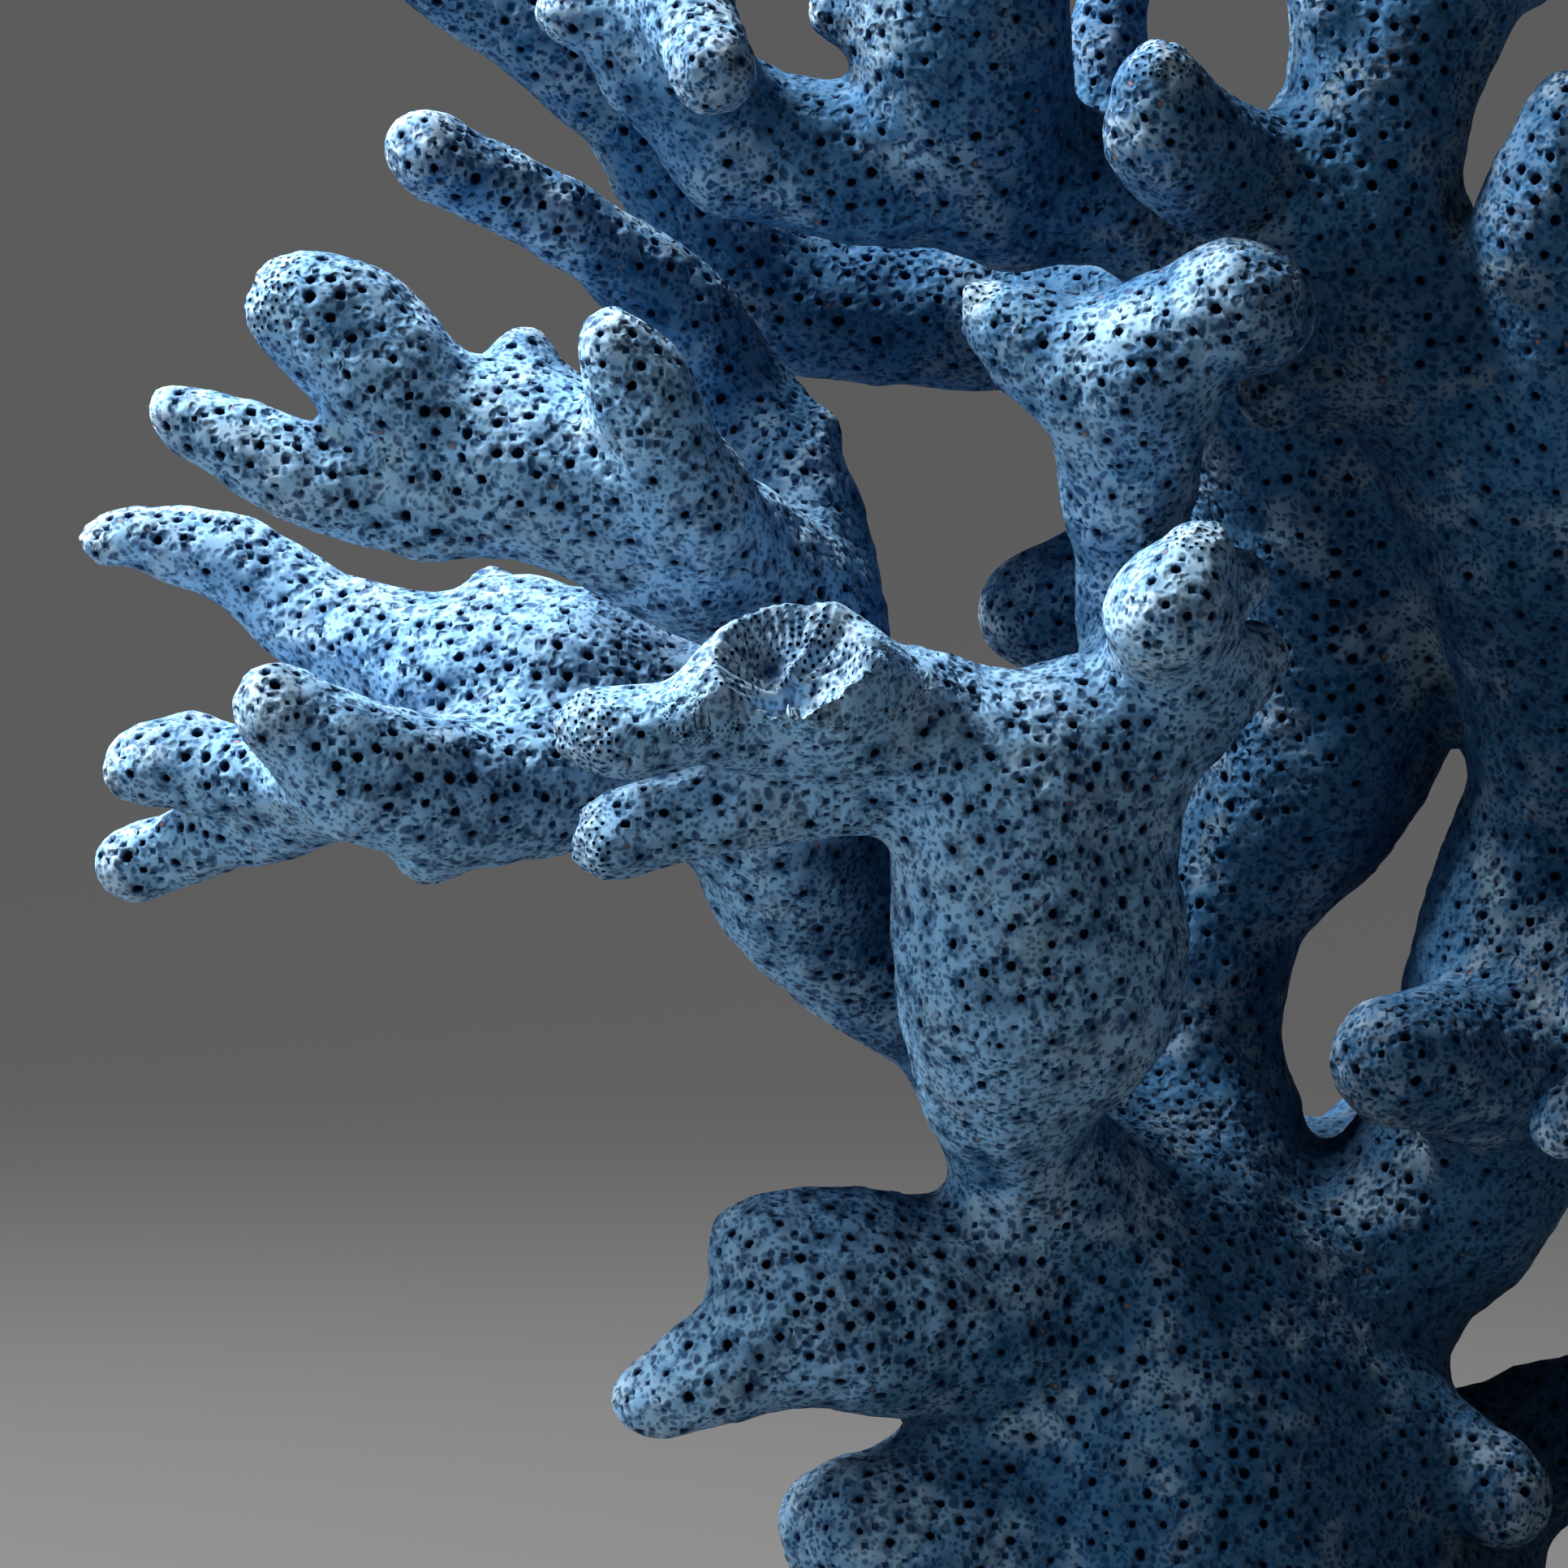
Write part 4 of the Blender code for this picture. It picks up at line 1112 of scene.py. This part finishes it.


def coral_material(colours):
    """Chalky net over blue, with pores at two sizes, worn tips, stains and rusty grit; painted light on one
    side and in open places, and painted shade on the top, in sheltered parts and in the dark cups.
    """
    wiring = Wiring("coral")
    ramp, maths = wiring.ramp, wiring.maths
    where = wiring.add("TexCoord").outputs["Object"]
    pit, tip, hollow, open_to, halo = (
        wiring.add("Attribute", attribute_name=label).outputs["Fac"]
        for label in ("pit", "tip", "hollow", "open", "halo")
    )

    stray = wiring.add("TexNoise", {"Vector": where, "Scale": 1 / STRAY_SIZE, "Detail": 0.0})
    shift = wiring.add("VectorMath", {0: stray.outputs["Color"], 1: (-0.5, -0.5, -0.5)}, operation="ADD")
    shift = wiring.add("VectorMath", {0: shift.outputs[0], "Scale": STRAY_REACH}, operation="SCALE")
    bent = wiring.add("VectorMath", {0: where, 1: shift.outputs[0]}, operation="ADD").outputs[0]
    broad = wiring.noise(where, CLOUD_SIZE, 2.0)
    patch = wiring.noise(where, PATCH_SIZE, 1.0)

    # The pores, dark in their middles, the wide ones in patches and not all of them as dark.
    apart, _ = wiring.cells(bent, FINE_PORES)
    fine = ramp(apart, 0.26, 0.54, 1.0, 0.0)
    apart, chance = wiring.cells(bent, WIDE_PORES)
    wide = ramp(apart, 0.18, 0.5, 1.0, 0.0)
    dark = maths("MULTIPLY", wide, ramp(patch, 0.34, 0.5))
    dark = maths("MULTIPLY", dark, ramp(chance, 0.1, 0.6, 0.35, 1.0))
    specks = maths("MULTIPLY", ramp(apart, 0.1, 0.2, 1.0, 0.0), ramp(chance, 0.96, 0.97))

    # How chalky the net is: random clouds, with painted light where the skin is open and on one side, and
    # painted shade towards the top.
    # Painted light: the net is lighter along one side of the colony.
    side = wiring.add("VectorMath", {0: where, 1: PAINTED_LIGHT_WAY}, operation="DOT_PRODUCT").outputs["Value"]
    height = wiring.add("SeparateXYZ", {"Vector": where}).outputs["Z"]
    painted_light = maths("MULTIPLY", ramp(side, PAINTED_SHADE_REACH, PAINTED_LIGHT_REACH), 0.5)
    painted_light = maths("ADD", painted_light, maths("MULTIPLY", open_to, 0.25))
    # Painted shade: the top is darker.
    painted_light = maths("SUBTRACT", painted_light, ramp(height, TOP_SHADE_START, TOP_SHADE_END, 0.0, 0.38))
    chalk_and_painted_light = ramp(maths("ADD", broad, painted_light), 0.52, 1.12)
    skin = wiring.blend(ramp(chalk_and_painted_light, 0.0, 1.0, 0.16, 1.0), tuple(colours.body), tuple(colours.net))

    # What lies over it, from the lowest layer to the top one.
    layers = (
        (maths("MULTIPLY", maths("MULTIPLY", tip, ramp(patch, 0.3, 0.6)), 0.6), colours.worn),
        (maths("MULTIPLY", ramp(hollow, 0.0, 1.0, 0.2, 0.5), ramp(broad, 0.5, 0.62)), colours.stain),
        (maths("MULTIPLY", fine, ramp(chalk_and_painted_light, 0.0, 1.0, 1.0, 0.7)), colours.body),
        (maths("MULTIPLY", halo, 0.6), colours.body),
        (maths("MULTIPLY", dark, 0.85), colours.pore),
        (maths("MULTIPLY", specks, 0.8), colours.grit),
        # Deep blue in the pores, cups and the crater's grooves and pit, partly painted shade.
        (ramp(pit, 0.15, 0.8), colours.pore),
        # Painted shade: near-black blue where the skin is closed in.
        (ramp(open_to, 0.08, 0.6, 0.95, 0.0), colours.depth),
        # Painted shade: near-black in the cups and in the crater's pit.
        (ramp(pit, 0.6, 1.0), colours.cup),
    )
    for share, over in layers:
        skin = wiring.blend(share, skin, tuple(over))

    bump = wiring.add("Bump", {"Height": wide, "Distance": PORE_RELIEF, "Strength": 0.9}, invert=True)
    shader = wiring.add("BsdfPrincipled", {
        "Base Color": skin, "Roughness": 0.88, "Specular IOR Level": 0.25, "Normal": bump.outputs[0],
    })
    wiring.add("OutputMaterial", {"Surface": shader.outputs[0]})
    return wiring.material


class CORAL_OT_paint(bpy.types.Operator):
    """Give every branch its chalky, porous finish, with its painted light and shade"""

    bl_idname = "coral.paint"
    bl_label = "Paint the branches"

    def execute(self, context):
        material = coral_material(context.scene.coral_colours)
        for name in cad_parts:
            piece = bpy.data.objects[name + "_coral"]
            piece.data.materials.clear()
            piece.data.materials.append(material)
        return {"FINISHED"}


# The photograph's frame is this wide at the distance of the branches in focus.
VIEW_WIDTH = 96.6 * MM
VIEW_DISTANCE = 350 * MM
VIEW_CENTRE = Vector((-32.7, -25, 60.7)) * MM
SENSOR = 36
SWEEP_STEPS = 24
KEY_PLACE = (-0.31, 0.0, 0.485)
KEY_AIM = (-0.03, -0.01, 0.07)
KEY_SIZE = 0.18
FILL_PLACE = (-0.44, -0.2, 0.02)
FILL_SIZE = 0.25
KEY_TINT = (1, 0.97, 0.93)
FILL_TINT = (0.8, 0.92, 1)
ROOM_TINT = (0.6, 0.75, 1, 1)
ROOM_STRENGTH = 0.03
LIGHT_SPREAD = 140  # degrees, so that no light's edge is seen on the floor


def make_paper(settings):
    """A round floor that sweeps up into a wall on every side."""
    bpy.ops.object.select_all(action="DESELECT")
    bpy.ops.mesh.primitive_circle_add(vertices=128, radius=settings.radius, fill_type="NGON",
                                      location=(0, 0, -0.1 * MM))
    paper = bpy.context.object
    paper.name = "paper"
    bpy.ops.object.mode_set(mode="EDIT")
    bpy.ops.mesh.select_mode(type="EDGE")
    bpy.ops.mesh.select_all(action="SELECT")
    out, up = settings.radius, 0
    for step in range(1, SWEEP_STEPS + 2):
        turn = math.radians(90) * min(step, SWEEP_STEPS) / SWEEP_STEPS
        next_out = settings.radius + settings.sweep * math.sin(turn)
        next_up = settings.sweep * (1 - math.cos(turn))
        if step > SWEEP_STEPS:
            next_up = settings.height
        if step == 1:
            bpy.ops.mesh.region_to_loop()
        bpy.ops.mesh.extrude_edges_move(TRANSFORM_OT_translate={"value": (0, 0, next_up - up)})
        grow = next_out / out
        bpy.ops.transform.resize(value=(grow, grow, 1), center_override=(0, 0, 0))
        out, up = next_out, next_up
    bpy.ops.object.mode_set(mode="OBJECT")
    bpy.ops.object.shade_smooth()
    bpy.ops.object.transform_apply(location=True, rotation=True, scale=True)
    wiring = Wiring("paper")
    shader = wiring.add("BsdfPrincipled", {
        "Base Color": tuple(settings.paper), "Roughness": 0.95, "Specular IOR Level": 0.1,
        "Emission Color": (1, 1, 1, 1), "Emission Strength": settings.glow,
    })
    wiring.add("OutputMaterial", {"Surface": shader.outputs[0]})
    wiring.material.cycles.emission_sampling = "NONE"
    paper.data.materials.append(wiring.material)


def add_light(name, place, aim, size, power, tint):
    bpy.ops.object.light_add(type="AREA", location=place)
    light = bpy.context.object
    light.name = name
    light.data.size = size
    light.data.spread = math.radians(LIGHT_SPREAD)
    light.data.energy = power
    light.data.color = tint
    light.rotation_euler = (Vector(aim) - Vector(place)).to_track_quat("-Z", "Y").to_euler()


class CORAL_OT_stage(bpy.types.Operator):
    """Set the plain grey floor, the soft light and the camera"""

    bl_idname = "coral.stage"
    bl_label = "Set the stage"

    def execute(self, context):
        settings = context.scene.coral_stage
        make_paper(settings)
        add_light("key", KEY_PLACE, KEY_AIM, KEY_SIZE, settings.key_power, KEY_TINT)
        add_light("fill", FILL_PLACE, KEY_AIM, FILL_SIZE, settings.fill_power, FILL_TINT)
        world = bpy.data.worlds.new("studio")
        context.scene.world = world
        world.use_nodes = True
        room = world.node_tree.nodes["Background"].inputs
        room["Color"].default_value = ROOM_TINT
        room["Strength"].default_value = ROOM_STRENGTH
        bpy.ops.object.camera_add(
            location=VIEW_CENTRE - Vector((0, VIEW_DISTANCE, 0)), rotation=(math.radians(90), 0, 0))
        camera = context.object
        camera.name = "camera"
        camera.data.sensor_width = SENSOR
        camera.data.lens = SENSOR * VIEW_DISTANCE / VIEW_WIDTH
        camera.data.clip_start = 0.01
        context.scene.camera = camera
        context.scene.view_settings.view_transform = "Standard"
        return {"FINISHED"}


OPERATORS = (CORAL_OT_grow, CORAL_OT_break_ends, CORAL_OT_open_pores, CORAL_OT_paint, CORAL_OT_stage)


class CORAL_PT_panel(bpy.types.Panel):
    """The steps that make the coral, in order, and their settings"""

    bl_idname = "CORAL_PT_panel"
    bl_label = "Blue ridge coral"
    bl_space_type = "VIEW_3D"
    bl_region_type = "UI"
    bl_category = "Coral"

    def draw(self, context):
        for operator in OPERATORS:
            self.layout.operator(operator.bl_idname)
        for name in SETTINGS:
            box = self.layout.box()
            group = getattr(context.scene, name)
            for field in group.__annotations__:
                box.prop(group, field)


def register():
    for kind in (*SETTINGS.values(), *OPERATORS, CORAL_PT_panel):
        bpy.utils.register_class(kind)
    for name, kind in SETTINGS.items():
        setattr(bpy.types.Scene, name, PointerProperty(type=kind))


def unregister():
    for name in SETTINGS:
        delattr(bpy.types.Scene, name)
    for kind in reversed((*SETTINGS.values(), *OPERATORS, CORAL_PT_panel)):
        bpy.utils.unregister_class(kind)


def main():
    register()
    bpy.ops.coral.grow()
    bpy.ops.coral.break_ends()
    bpy.ops.coral.open_pores()
    bpy.ops.coral.paint()
    bpy.ops.coral.stage()


if __name__ == "__main__":
    main()
